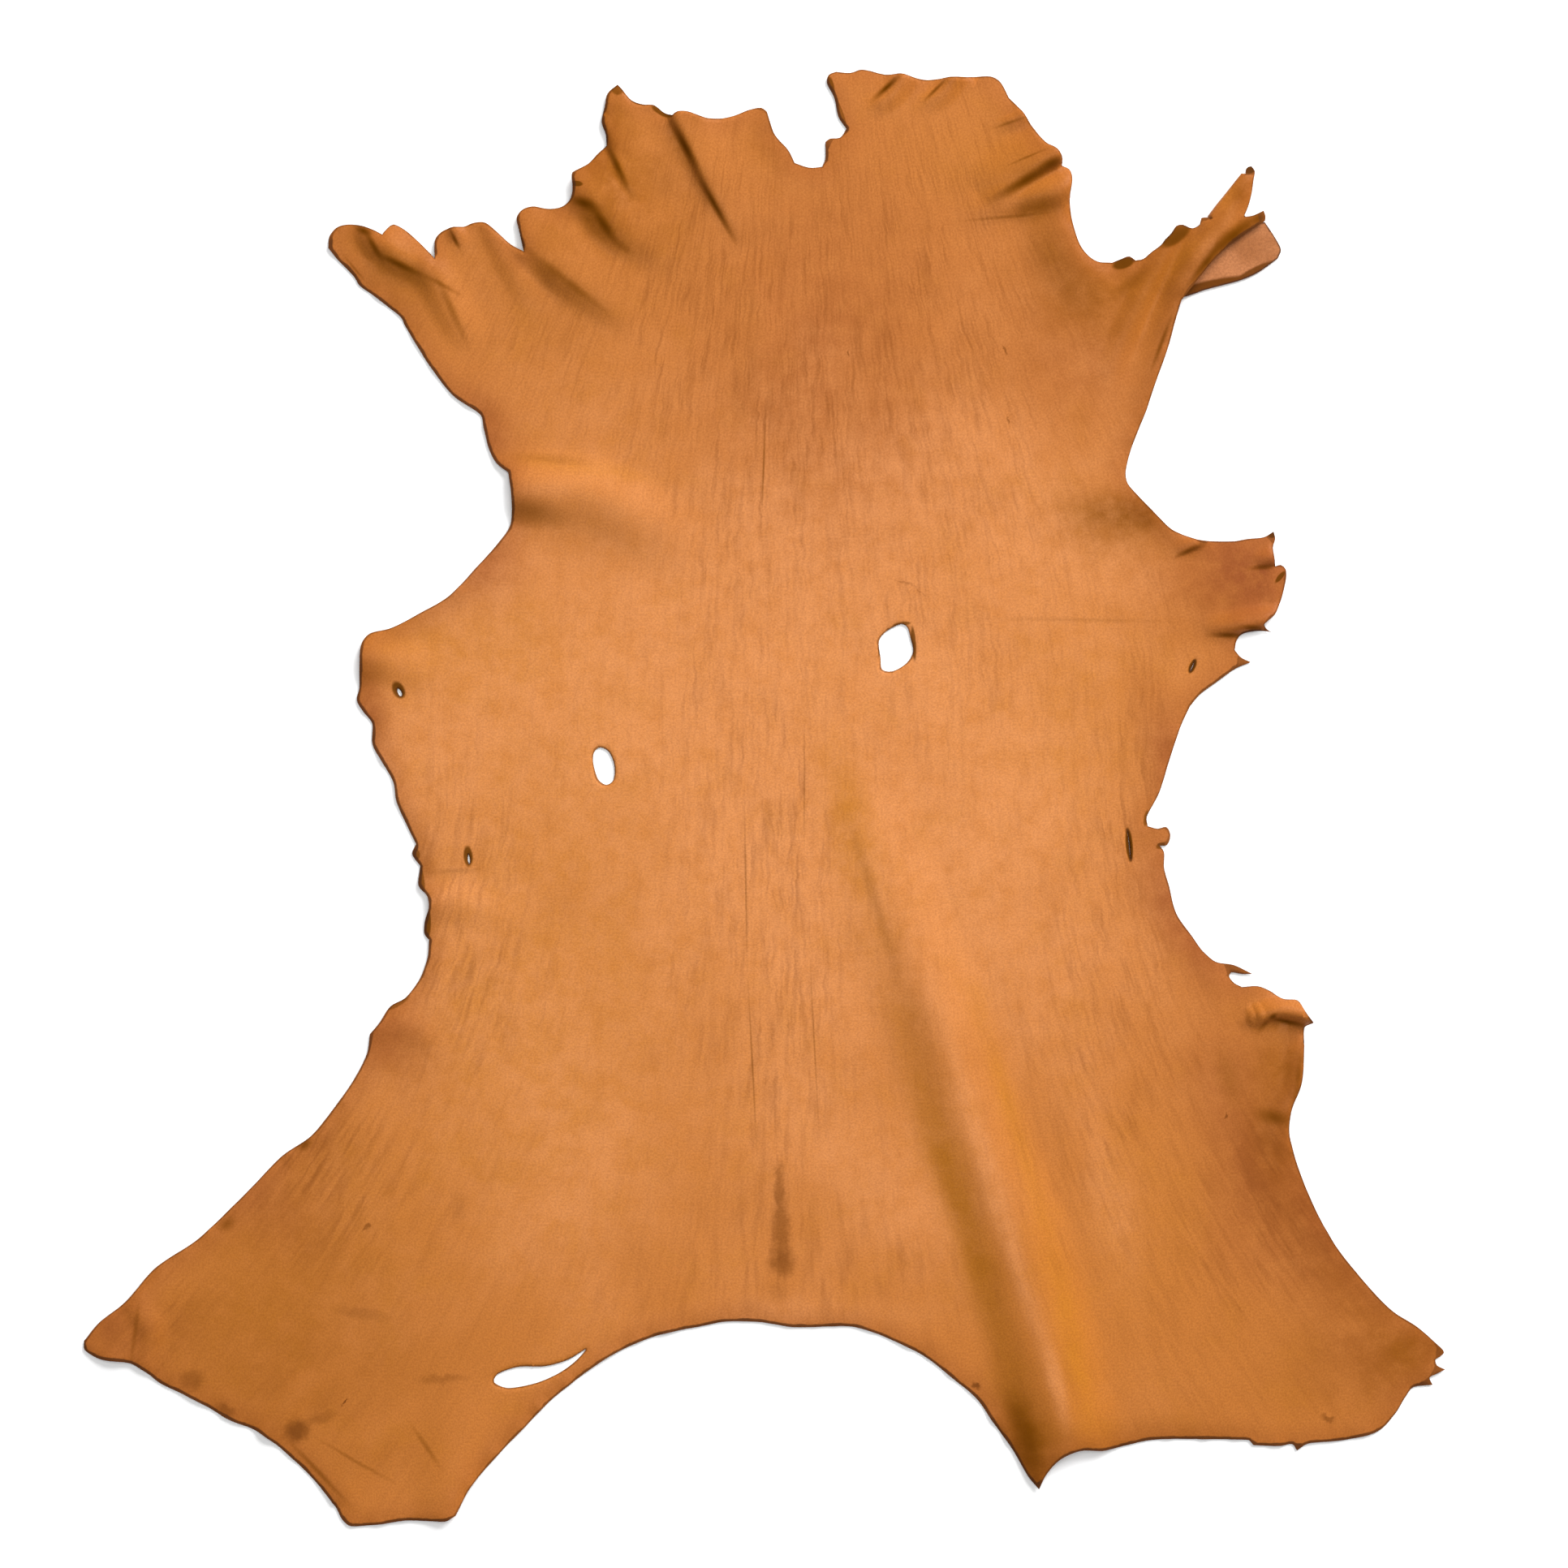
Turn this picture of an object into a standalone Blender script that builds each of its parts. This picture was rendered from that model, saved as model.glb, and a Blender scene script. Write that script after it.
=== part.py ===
"""A tanned leather hide, one skin lying flat with its grain side up.

The neck is at +Y and the hind legs at -Y. The skin is one closed sheet. Its edge and its holes are
smooth stretches between corners, its folds are ridges that rise off the ground, and the end of its
right foreleg is turned under and comes out at the side with its flesh side up.
"""

import math

import bpy
import numpy as np
from mathutils import Vector
from mathutils.geometry import delaunay_2d_cdt

# Driving dimensions, in metres
HIDE_LENGTH = 1.300  # from the neck's edge to the hind legs' edge
THICKNESS = 0.0020
EDGE_STEP = 0.014  # longest step along the edge
FINE_STEP = 0.0072  # spacing of the mesh on a narrow fold
NARROW_FOLD = 0.012  # a fold with a side under this width gets the fine mesh
TURN_LENGTH = 0.014  # leather that the turned-under end takes round its bend

# The tables below give places in picture pixels, across to the right and down
TOP_ROW = 86
BOTTOM_ROW = 1880
MIDDLE_ROW = 983
MIDDLE_COLUMN = 942
PIXEL = HIDE_LENGTH / (BOTTOM_ROW - TOP_ROW)

# The crease of the turned-under end runs between these two points, at 45 degrees
CREASE_START = (1494, 272)
CREASE_END = (1534, 216)

# The edge, clockwise from the middle of the neck: one smooth stretch a row, a corner at each end
EDGE = (
    ("neck notch", (1013, 206), (1017, 196), (1017, 175)),
    ("notch step", (1017, 175), (1023, 171), (1035, 170), (1043, 159)),
    ("neck lobe left", (1043, 159), (1033, 144), (1028, 121), (1019, 103), (1021, 93), (1030, 89)),
    ("neck lobe top", (1030, 89), (1048, 90), (1062, 86), (1090, 92), (1110, 92), (1128, 97),
     (1143, 99), (1163, 97), (1204, 95), (1222, 95), (1233, 102), (1243, 121)),
    ("neck lobe right", (1243, 121), (1260, 139), (1273, 159), (1288, 178), (1301, 186),
     (1308, 197), (1307, 205)),
    ("neck side", (1307, 205), (1317, 210), (1320, 222), (1317, 246), (1320, 272), (1328, 299),
     (1338, 314), (1352, 323), (1370, 324)),
    ("curled nub", (1370, 324), (1382, 319), (1391, 316), (1399, 321)),
    ("foreleg upper edge", (1399, 321), (1409, 319), (1419, 311), (1430, 303), (1435, 296)),
    ("foreleg tab", (1435, 296), (1443, 288), (1449, 279), (1457, 277), (1469, 282), (1478, 278),
     (1480, 270), (1488, 270)),
    ("tab to crease", (1488, 270), (1494, 272)),
    ("crease", (1494, 272), (1504, 258), (1514, 244), (1524, 230), (1534, 216)),
    ("spike left", (1534, 216), (1534, 211), (1537, 207), (1541, 206)),
    ("spike right", (1541, 206), (1545, 212), (1543, 224), (1541, 238), (1537, 254), (1531, 269)),
    ("strap top", (1531, 269), (1543, 267), (1556, 261)),
    ("strap end", (1556, 261), (1558, 268), (1557, 274)),
    ("foreleg ridge", (1557, 274), (1536, 287), (1512, 304), (1490, 326), (1471, 350),
     (1454, 372)),
    ("foreleg to waist", (1454, 372), (1447, 396), (1438, 430), (1424, 470), (1411, 509),
     (1395, 549), (1387, 580), (1389, 596), (1402, 612), (1428, 638), (1443, 652), (1459, 660)),
    ("wing top", (1459, 660), (1478, 666), (1520, 667), (1538, 664), (1557, 662), (1569, 655)),
    ("wing upper lobe", (1569, 655), (1571, 664), (1568, 676), (1571, 698)),
    ("wing curl", (1571, 698), (1578, 696), (1584, 702), (1584, 716), (1578, 739), (1570, 757),
     (1556, 769)),
    ("wing thin point top", (1556, 769), (1559, 774), (1566, 779)),
    ("wing bite", (1566, 779), (1553, 777), (1539, 778), (1530, 781), (1523, 790), (1521, 801)),
    ("wing barb top", (1521, 801), (1529, 810), (1541, 816)),
    ("wing lower edge", (1541, 816), (1522, 824), (1499, 840), (1478, 856), (1466, 870)),
    ("right flank", (1466, 870), (1453, 899), (1440, 939), (1428, 977), (1413, 1006),
     (1414, 1018)),
    ("flank button", (1414, 1018), (1426, 1021), (1437, 1019), (1442, 1029), (1438, 1041),
     (1429, 1042)),
    ("lower right flank", (1429, 1042), (1434, 1050), (1434, 1069), (1440, 1091), (1449, 1125),
     (1469, 1154), (1482, 1172), (1498, 1185), (1520, 1189), (1543, 1200)),
    ("barb underside", (1543, 1200), (1530, 1200), (1517, 1198), (1514, 1203), (1520, 1211),
     (1530, 1216)),
    ("pinched corner top", (1530, 1216), (1549, 1215), (1565, 1221), (1580, 1231), (1598, 1233),
     (1606, 1246), (1617, 1259)),
    ("right hind leg outside", (1617, 1259), (1607, 1266), (1606, 1288), (1603, 1332),
     (1590, 1370), (1589, 1402), (1611, 1469), (1643, 1531), (1678, 1576), (1714, 1614),
     (1745, 1634), (1768, 1654), (1779, 1666), (1768, 1675)),
    ("upper shred", (1768, 1675), (1770, 1682), (1780, 1687)),
    ("lower shred", (1780, 1687), (1768, 1693), (1761, 1697), (1765, 1706)),
    ("right foot", (1765, 1706), (1741, 1709), (1731, 1721), (1719, 1741), (1698, 1763),
     (1656, 1774), (1612, 1778), (1598, 1787)),
    ("right hind leg inside", (1598, 1787), (1592, 1779), (1578, 1781), (1544, 1780),
     (1539, 1774), (1482, 1773), (1419, 1774), (1361, 1786), (1330, 1785), (1306, 1795),
     (1289, 1815), (1280, 1834)),
    ("rear arch", (1280, 1834), (1266, 1817), (1248, 1786), (1225, 1754), (1203, 1723),
     (1176, 1700), (1136, 1669), (1078, 1642), (1046, 1634), (979, 1635), (939, 1629),
     (895, 1628), (868, 1633), (814, 1644), (770, 1661), (734, 1682), (680, 1724), (645, 1760),
     (612, 1794), (580, 1832), (562, 1866)),
    ("left foot", (562, 1866), (549, 1873), (500, 1873), (473, 1877), (433, 1880), (422, 1872),
     (413, 1855), (388, 1824), (353, 1790), (321, 1765), (281, 1748), (254, 1732), (223, 1716),
     (196, 1703), (183, 1692), (161, 1679), (125, 1674), (105, 1663), (104, 1652)),
    ("left hind leg outside", (104, 1652), (123, 1629), (156, 1603), (192, 1562), (241, 1529),
     (272, 1501), (313, 1460), (348, 1424), (384, 1399), (411, 1366), (435, 1332), (452, 1299),
     (456, 1274)),
    ("left haunch", (456, 1274), (469, 1259), (481, 1240), (500, 1229), (518, 1205),
     (527, 1180), (529, 1158)),
    ("haunch frill", (529, 1158), (523, 1150), (524, 1134), (529, 1118), (527, 1104), (516, 1091),
     (518, 1067)),
    ("frill nub", (518, 1067), (508, 1052), (513, 1040)),
    ("left flank", (513, 1040), (504, 1022), (489, 988), (485, 964), (471, 939), (459, 917),
     (459, 892), (448, 877), (440, 863), (443, 848), (444, 819), (446, 794), (456, 781),
     (482, 774), (513, 758), (554, 734), (594, 692), (623, 658), (630, 643), (631, 612),
     (627, 583)),
    ("left armpit", (627, 583), (612, 571), (603, 554), (596, 527), (592, 511), (558, 487),
     (531, 453), (512, 423), (499, 401), (494, 391), (478, 378), (460, 364), (443, 352),
     (437, 342), (427, 331), (416, 320), (405, 306)),
    ("left foreleg tip", (405, 306), (406, 292), (415, 281), (430, 277), (446, 279), (461, 285),
     (472, 291)),
    ("foreleg bump", (472, 291), (478, 282), (485, 277), (499, 284), (514, 297), (528, 311),
     (536, 320)),
    ("foreleg lobe", (536, 320), (536, 297), (543, 287), (556, 281), (571, 280), (584, 275),
     (598, 275), (612, 286), (630, 302), (646, 311)),
    ("neck left lobe", (646, 311), (641, 288), (637, 270), (643, 260), (656, 255), (675, 258),
     (691, 256), (702, 248), (706, 237), (705, 220)),
    ("neck left rise", (705, 220), (706, 214), (725, 203), (738, 189), (748, 180)),
    ("neck left horn", (748, 180), (747, 166), (742, 151), (746, 130), (749, 116), (761, 105)),
    ("horn to crease", (761, 105), (766, 110), (778, 124), (792, 129), (806, 130), (818, 139),
     (829, 143)),
    ("neck left top", (829, 143), (835, 139), (847, 139), (859, 143), (872, 147), (890, 147),
     (906, 143), (922, 136), (938, 133), (945, 138)),
    ("neck left inner side", (945, 138), (953, 163), (960, 173), (971, 185), (979, 201)),
    ("neck left floor", (979, 201), (997, 207), (1013, 206)),
)

# The turned-under end of the right foreleg, as it lies, from one end of the crease to the other
TURNED_END = (
    ("crease end", (1534, 216), (1533, 240), (1529, 262)),
    ("far notch", (1529, 262), (1543, 274), (1558, 274)),
    ("far corner", (1558, 274), (1570, 292), (1578, 308), (1574, 319)),
    ("lower margin", (1574, 319), (1550, 336), (1527, 346), (1486, 357), (1459, 366),
     (1450, 362)),
    ("hidden side", (1450, 362), (1462, 335), (1478, 303), (1494, 272)),
)

# The holes, each one closed smooth curve
HOLES = (
    ("round wound", (1110, 769), (1118, 773), (1122, 787), (1125, 803), (1117, 817), (1100, 827),
     (1087, 825), (1085, 811), (1083, 790), (1092, 778)),
    ("oval wound", (739, 921), (750, 926), (757, 943), (756, 961), (747, 967), (737, 960),
     (731, 940), (732, 927)),
    ("left wing hole", (489.6, 849), (491.6, 848.4), (495, 853), (495.4, 857.6), (493, 857.8),
     (490.2, 853.4)),
    ("left flank slit", (577.2, 1052), (578.9, 1057), (579.2, 1062), (578.2, 1065), (576.8, 1061),
     (576.5, 1056)),
    ("rear slot", (609, 1703), (613, 1693), (638, 1684), (672, 1683), (700, 1675), (722, 1662),
     (709, 1677), (688, 1692), (660, 1704), (626, 1710)),
    ("right wing hole", (1471.6, 814.4), (1470.3, 818.6), (1468.6, 823.2), (1466.4, 827.6),
     (1468.1, 823), (1469.8, 818.4)),
    ("right flank slit", (1388.8, 1023), (1390.7, 1035), (1392, 1047), (1393, 1060),
     (1391.5, 1047), (1390.2, 1035)),
)

# The folds. The crest of each is a smooth curve of (across, down, height) with height in
# millimetres. The leather falls to the ground within one width on the right of the way that the
# crest runs and within the other on its left, both in millimetres.
FOLDS = (
    ("long haunch ridge", 60, 52, (1048, 930, 0), (1082, 1050, 3), (1122, 1160, 5),
     (1163, 1270, 8), (1204, 1390, 10), (1244, 1490, 12), (1270, 1580, 13), (1290, 1655, 14),
     (1304, 1720, 13), (1318, 1780, 11), (1330, 1830, 8)),
    ("left waist ridge", 40, 38, (600, 606, 5), (628, 604, 7), (660, 602, 9), (719, 606, 8),
     (767, 624, 6), (812, 652, 3), (855, 685, 0)),
    ("neck crease", 10, 60, (826, 120, 5), (838, 152, 7), (851, 177, 7), (865, 209, 7),
     (880, 237, 6), (895, 261, 4), (910, 288, 2), (918, 304, 0)),
    ("horn crease", 10, 46, (748, 146, 2), (757, 178, 4), (766, 203, 5), (775, 224, 4),
     (786, 240, 2), (797, 256, 0)),
    ("slit fold", 26, 50, (706, 230, 6), (726, 240, 9), (742, 254, 11), (753, 272, 11),
     (769, 287, 8), (797, 300, 4), (834, 320, 0)),
    ("lobe fold", 22, 56, (640, 266, 3), (650, 290, 5), (668, 314, 7), (692, 337, 8),
     (721, 358, 6), (747, 376, 4), (790, 398, 0)),
    ("left foreleg fold", 20, 26, (450, 262, 5), (458, 283, 7), (466, 299, 9), (482, 311, 10),
     (502, 322, 9), (521, 330, 8), (535, 344, 7), (548, 370, 5), (562, 396, 4), (584, 434, 0)),
    ("foreleg lobe fold", 16, 24, (598, 262, 3), (620, 312, 3), (642, 352, 2), (666, 394, 0)),
    ("foreleg lobe crease", 6, 12, (556, 272, 4), (562, 288, 4), (572, 308, 0)),
    ("neck top crease", 9, 16, (1116, 88, 6), (1102, 113, 5), (1084, 127, 3), (1070, 135, 0)),
    ("second top crease", 9, 16, (1175, 95, 5), (1161, 115, 4), (1143, 125, 2), (1129, 131, 0)),
    ("neck lobe crease", 7, 14, (1270, 138, 4), (1248, 148, 3), (1228, 154, 0)),
    ("neck right fold", 44, 14, (1322, 180, 11), (1303, 190, 12), (1284, 201, 11),
     (1262, 215, 9), (1240, 230, 6), (1212, 248, 0)),
    ("neck shoulder fold", 20, 18, (1322, 232, 7), (1285, 240, 7), (1240, 252, 4),
     (1190, 266, 0)),
    ("neck side ridge", 40, 20, (1306, 222, 4), (1305, 260, 6), (1312, 296, 7), (1330, 326, 6),
     (1356, 350, 3), (1380, 372, 0)),
    ("foreleg shoulder ridge", 16, 16, (1440, 296, 3), (1424, 334, 5), (1402, 376, 5),
     (1378, 430, 3), (1360, 480, 0)),
    ("right foreleg ridge", 26, 26, (1410, 512, 0), (1424, 472, 3), (1436, 430, 6),
     (1446, 396, 9), (1457, 368, 11), (1470, 338, 12), (1488, 306, 12), (1506, 274, 12),
     (1526, 242, 8), (1544, 204, 3)),
    ("foreleg strap", 30, 24, (1466, 362, 2), (1492, 330, 4), (1520, 302, 5), (1562, 266, 6)),
    ("wing top crease", 12, 7, (1490, 654, 5), (1478, 666, 5), (1462, 674, 4), (1442, 682, 0)),
    ("wing edge crease", 12, 8, (1584, 684, 6), (1566, 688, 5), (1540, 694, 0)),
    ("wing bottom fold", 18, 9, (1578, 766, 9), (1552, 766, 8), (1530, 770, 8), (1506, 774, 5),
     (1480, 776, 0)),
    ("pinched corner fold", 10, 14, (1536, 1262, 0), (1556, 1250, 8), (1578, 1245, 11),
     (1602, 1249, 12), (1622, 1254, 12)),
    ("haunch edge roll", 18, 30, (1604, 1300, 5), (1598, 1340, 5), (1576, 1385, 3),
     (1560, 1420, 0)),
    ("left wing roll", 26, 30, (430, 812, 6), (462, 812, 5), (505, 822, 3), (545, 838, 0)),
    ("left flank roll", 24, 24, (498, 1118, 5), (540, 1112, 4), (590, 1118, 2), (640, 1140, 0)),
    ("right waist roll", 34, 26, (1450, 630, 4), (1415, 622, 4), (1360, 618, 3), (1300, 622, 0)),
    ("left foot roll", 30, 40, (128, 1700, 4), (160, 1652, 4), (190, 1600, 3), (225, 1560, 0)),
    ("inner foot roll", 34, 40, (560, 1885, 5), (556, 1830, 5), (568, 1770, 3), (600, 1700, 0)),
)

MILLIMETRE = 0.001
PROBE = 0.0002  # distance over which slopes are measured
CREST_STEP = 0.006  # longest step along a fold's crest
ROW_SHARE = math.sqrt(3) / 2  # distance between rows of a triangular grid, in steps
EDGE_ROOM = 0.5  # the least distance from the field to the edge, in steps
SAME_PLACE = 1e-6  # points nearer than this are one
LEATHER_COLOUR = (0.66, 0.27, 0.09, 1.0)


def place(rows):
    """Places in metres of rows whose first two columns are across and down."""
    table = np.array(rows, float)
    across = (table[:, 0] - MIDDLE_COLUMN) * PIXEL
    up = (MIDDLE_ROW - table[:, 1]) * PIXEL
    return np.column_stack([across, up])


def way_through(before, middle, after, span):
    """The way that a smooth curve runs through its middle point, for a stretch of a given span."""
    both = math.dist(before[:2], middle[:2]) + math.dist(middle[:2], after[:2])
    return (after - before) / 2 * min(1, 2 * span / both)


def smooth_curve(points, closed, step):
    """A smooth curve through points of any number of columns, its last point left out."""
    count = len(points)
    pieces = []
    for i in range(count if closed else count - 1):
        if closed:
            before, start, end, after = (points[(i + k) % count] for k in (-1, 0, 1, 2))
        else:
            start, end = points[i], points[i + 1]
            before = points[i - 1] if i else 2 * start - end
            after = points[i + 2] if i + 2 < count else 2 * end - start
        span = math.dist(start[:2], end[:2])
        parts = math.ceil(span / step)
        shares = np.arange(parts)[:, None] / parts
        leave = way_through(before, start, end, span)
        arrive = way_through(start, end, after, span)
        squared, cubed = shares**2, shares**3
        pieces.append(
            (2 * cubed - 3 * squared + 1) * start
            + (cubed - 2 * squared + shares) * leave
            + (3 * squared - 2 * cubed) * end
            + (cubed - squared) * arrive
        )
    return np.concatenate(pieces)


def outline(stretches, step):
    """A closed outline made of smooth stretches that meet at corners."""
    return np.concatenate([smooth_curve(place(row[1:]), False, step) for row in stretches])


def crest(rows):
    """A fold's crest as a fine polyline of x, y and height, all in metres."""
    heights = np.array(rows, float)[:, 2] * MILLIMETRE
    points = np.column_stack([place(rows), heights])
    return np.concatenate([smooth_curve(points, False, CREST_STEP), points[-1:]])


def from_crest(points, line):
    """Distance to a crest, its height there, and whether a point lies on its right."""
    nearest = np.full(len(points), np.inf)
    height = np.zeros(len(points))
    on_right = np.zeros(len(points), bool)
    for start, end in zip(line[:-1], line[1:]):
        along = end[:2] - start[:2]
        away = points - start[:2]
        share = np.clip(away @ along / (along @ along), 0, 1)
        distance = np.linalg.norm(away - share[:, None] * along, axis=1)
        closer = distance < nearest
        nearest[closer] = distance[closer]
        height[closer] = (start[2] + share * (end[2] - start[2]))[closer]
        on_right[closer] = (along[1] * away[:, 0] - along[0] * away[:, 1] > 0)[closer]
    return nearest, height, on_right


CRESTS = [(right * MILLIMETRE, left * MILLIMETRE, crest(rows)) for _, right, left, *rows in FOLDS]


def lift(points):
    """How high the flesh side stands off the ground at places on the flat skin."""
    total = np.zeros(len(points))
    for right, left, line in CRESTS:
        distance, height, on_right = from_crest(points, line)
        down = np.clip(distance / np.where(on_right, right, left), 0, 1)
        total += height * (1 - down) ** 2 * (1 + 2 * down)
    return total


def skin(points):
    """The flesh side of the skin at places on it, in three dimensions."""
    return np.column_stack([points, lift(points)])


def crease_frame():
    """The start of the crease, the way it runs and the way out of the skin there."""
    start, end = place([CREASE_START, CREASE_END])
    along = (end - start) / math.dist(start, end)
    return start, along, np.array([-along[1], along[0]])


def turned_places(points):
    """Places as they lie, changed to (along the crease, leather beyond it)."""
    start, along, out = crease_frame()
    away = points - start
    return np.column_stack([away @ along, TURN_LENGTH - away @ out])


def turned(places):
    """The flesh side of the turned-under end: round a half circle, then flat on the ground."""
    start, along, out = crease_frame()
    foot = start + places[:, :1] * along
    top = lift(foot)
    radius = (top - THICKNESS) / 2
    angle = np.clip(places[:, 1] / TURN_LENGTH, 0, 1) * math.pi
    sideways = radius * np.sin(angle) - np.clip(places[:, 1] - TURN_LENGTH, 0, None)
    flat = foot + sideways[:, None] * out
    return np.column_stack([flat, top - radius * (1 - np.cos(angle))])


def both_sides(surface, points):
    """The flesh side and, one thickness off it, the grain side."""
    ahead = surface(points + [PROBE, 0]) - surface(points - [PROBE, 0])
    across = surface(points + [0, PROBE]) - surface(points - [0, PROBE])
    normal = np.cross(ahead, across)
    normal /= np.linalg.norm(normal, axis=1)[:, None]
    flesh = surface(points)
    return flesh, flesh + THICKNESS * normal


def inside(points, loop):
    """Which points lie inside a closed outline."""
    odd = np.zeros(len(points), bool)
    for (x0, y0), (x1, y1) in zip(loop, np.roll(loop, -1, axis=0)):
        if y0 == y1:
            continue
        crosses = (points[:, 1] < y0) != (points[:, 1] < y1)
        reach = x0 + (points[:, 1] - y0) * (x1 - x0) / (y1 - y0)
        odd ^= crosses & (points[:, 0] < reach)
    return odd


def clearance(points, loop):
    """The distance from each point to an outline."""
    nearest = np.full(len(points), np.inf)
    for start, end in zip(loop, np.roll(loop, -1, axis=0)):
        along = end - start
        away = points - start
        share = np.clip(away @ along / max(along @ along, 1e-12), 0, 1)
        nearest = np.minimum(nearest, np.linalg.norm(away - share[:, None] * along, axis=1))
    return nearest


def coarseness(points):
    """The mesh level at each point: 0 on narrow folds, 1 on wide ones, 2 where it lies flat."""
    level = np.full(len(points), 2)
    for right, left, line in CRESTS:
        distance, height, on_right = from_crest(points, line)
        near = (distance < np.where(on_right, right, left)) & (height > MILLIMETRE)
        narrow = min(right, left) < NARROW_FOLD
        level[near] = np.minimum(level[near], 0 if narrow else 1)
    return level


def all_fine(points):
    """The finest mesh level at every point."""
    return np.zeros(len(points), int)


def field(loops, level_of, step):
    """Triangular grid points inside the first loop and outside the others, finer by level."""
    low, high = loops[0].min(0), loops[0].max(0)
    columns, rows = (math.ceil(size) for size in (high - low) / [step, step * ROW_SHARE])
    column, row = (grid.ravel() for grid in np.meshgrid(np.arange(columns), np.arange(rows)))
    points = low + np.column_stack([column + row % 2 / 2, row * ROW_SHARE]) * step
    keep = inside(points, loops[0])
    points, column, row = points[keep], column[keep], row[keep]
    level = level_of(points)
    spacing = 2**level
    keep = (row % spacing == 0) & ((column + spacing // 2 * (row // spacing % 2)) % spacing == 0)
    points, spacing = points[keep], spacing[keep]
    for hole in loops[1:]:
        clear = ~inside(points, hole)
        points, spacing = points[clear], spacing[clear]
    for loop in loops:
        clear = clearance(points, loop) > EDGE_ROOM * step * spacing
        points, spacing = points[clear], spacing[clear]
    return points


def triangulated(loops, extra):
    """Flat triangles that fill the first loop and leave the others open."""
    edges, first = [], 0
    for loop in loops:
        edges += [(first + i, first + (i + 1) % len(loop)) for i in range(len(loop))]
        first += len(loop)
    points = [Vector(place) for place in np.concatenate([*loops, extra])]
    found = delaunay_2d_cdt(points, edges, [], 0, SAME_PLACE)
    points = np.array([tuple(place) for place in found[0]])
    triangles = np.array(found[2])
    middle = points[triangles].mean(1)
    keep = inside(middle, loops[0])
    for hole in loops[1:]:
        keep &= ~inside(middle, hole)
    triangles = triangles[keep]
    ahead = points[triangles[:, 1]] - points[triangles[:, 0]]
    side = points[triangles[:, 2]] - points[triangles[:, 0]]
    back = ahead[:, 0] * side[:, 1] < ahead[:, 1] * side[:, 0]
    triangles[back] = triangles[back][:, ::-1]
    return points, triangles


def rim(triangles):
    """The edges that only one triangle uses, in that triangle's direction."""
    ways = np.concatenate([triangles[:, [0, 1]], triangles[:, [1, 2]], triangles[:, [2, 0]]])
    known = {(a, b) for a, b in ways.tolist()}
    return [(a, b) for a, b in ways.tolist() if (b, a) not in known]


def joined(parts):
    """Several sheets as one, with points in the same place made one."""
    points = np.concatenate([p for p, _ in parts])
    starts = np.cumsum([0] + [len(p) for p, _ in parts[:-1]])
    triangles = np.concatenate([t + start for start, (_, t) in zip(starts, parts)])
    keys = np.round(points[:, :3] / SAME_PLACE).astype(int)
    _, first, same = np.unique(keys, axis=0, return_index=True, return_inverse=True)
    return points[first], same.ravel()[triangles]


def turned_edge():
    """The edge of the turned-under end, first along the crease and then round the free side."""
    rows = next(row[1:] for row in EDGE if row[0] == "crease")
    crease = turned_places(smooth_curve(place(rows), False, EDGE_STEP))
    free = turned_places(outline(TURNED_END, EDGE_STEP))
    return np.concatenate([crease * [1, 0], free[:1] * [1, 0], free[1:]])


def sheet():
    """Flesh points, grain points and triangles of the whole skin."""
    loops = [outline(EDGE, EDGE_STEP)]
    loops += [smooth_curve(place(row[1:]), True, EDGE_STEP) for row in HOLES]
    end = [turned_edge()]
    parts = []
    for surface, edges, level_of in ((skin, loops, coarseness), (turned, end, all_fine)):
        places, triangles = triangulated(edges, field(edges, level_of, FINE_STEP))
        parts.append((np.hstack(both_sides(surface, places)), triangles))
    points, triangles = joined(parts)
    return points[:, :3], points[:, 3:], triangles


def solid(flesh, grain, triangles):
    """A closed mesh with the two sides of the skin and the cut edge between them."""
    count = len(flesh)
    faces = [tuple(face + count) for face in triangles]
    faces += [tuple(face[::-1]) for face in triangles]
    faces += [(a, b, b + count, a + count) for a, b in rim(triangles)]
    mesh = bpy.data.meshes.new("hide")
    mesh.from_pydata(np.concatenate([flesh, grain]).tolist(), [], faces)
    mesh.validate()
    return mesh


def leather():
    """Smooth vegetable-tanned leather with a soft sheen."""
    material = bpy.data.materials.new("leather")
    material.use_nodes = True
    shader = material.node_tree.nodes["Principled BSDF"]
    shader.inputs["Base Color"].default_value = LEATHER_COLOUR
    shader.inputs["Roughness"].default_value = 0.6
    shader.inputs["Metallic"].default_value = 0.0
    return material


def build():
    for item in list(bpy.data.objects):
        bpy.data.objects.remove(item)
    hide = bpy.data.objects.new("hide", solid(*sheet()))
    hide.data.materials.append(leather())
    bpy.context.scene.collection.objects.link(hide)


build()
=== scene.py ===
"""The looks of a leather hide that lies flat with its grain side up.

The skin is built again from its own tables, much finer than the solid it replaces, with small
wrinkles, cloudy dye, a drawn grain that fans out to the legs, stains, a suede flesh side and dark
cut edges. Painted shade lies in its creases, hollows and fold slopes, under curled margins, in its
holes and on margins that face away from the key light, and painted highlight on crests and the lit
middle.
"""

import math

import bpy
import numpy as np
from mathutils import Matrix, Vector, kdtree, noise
from mathutils.geometry import delaunay_2d_cdt


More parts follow.
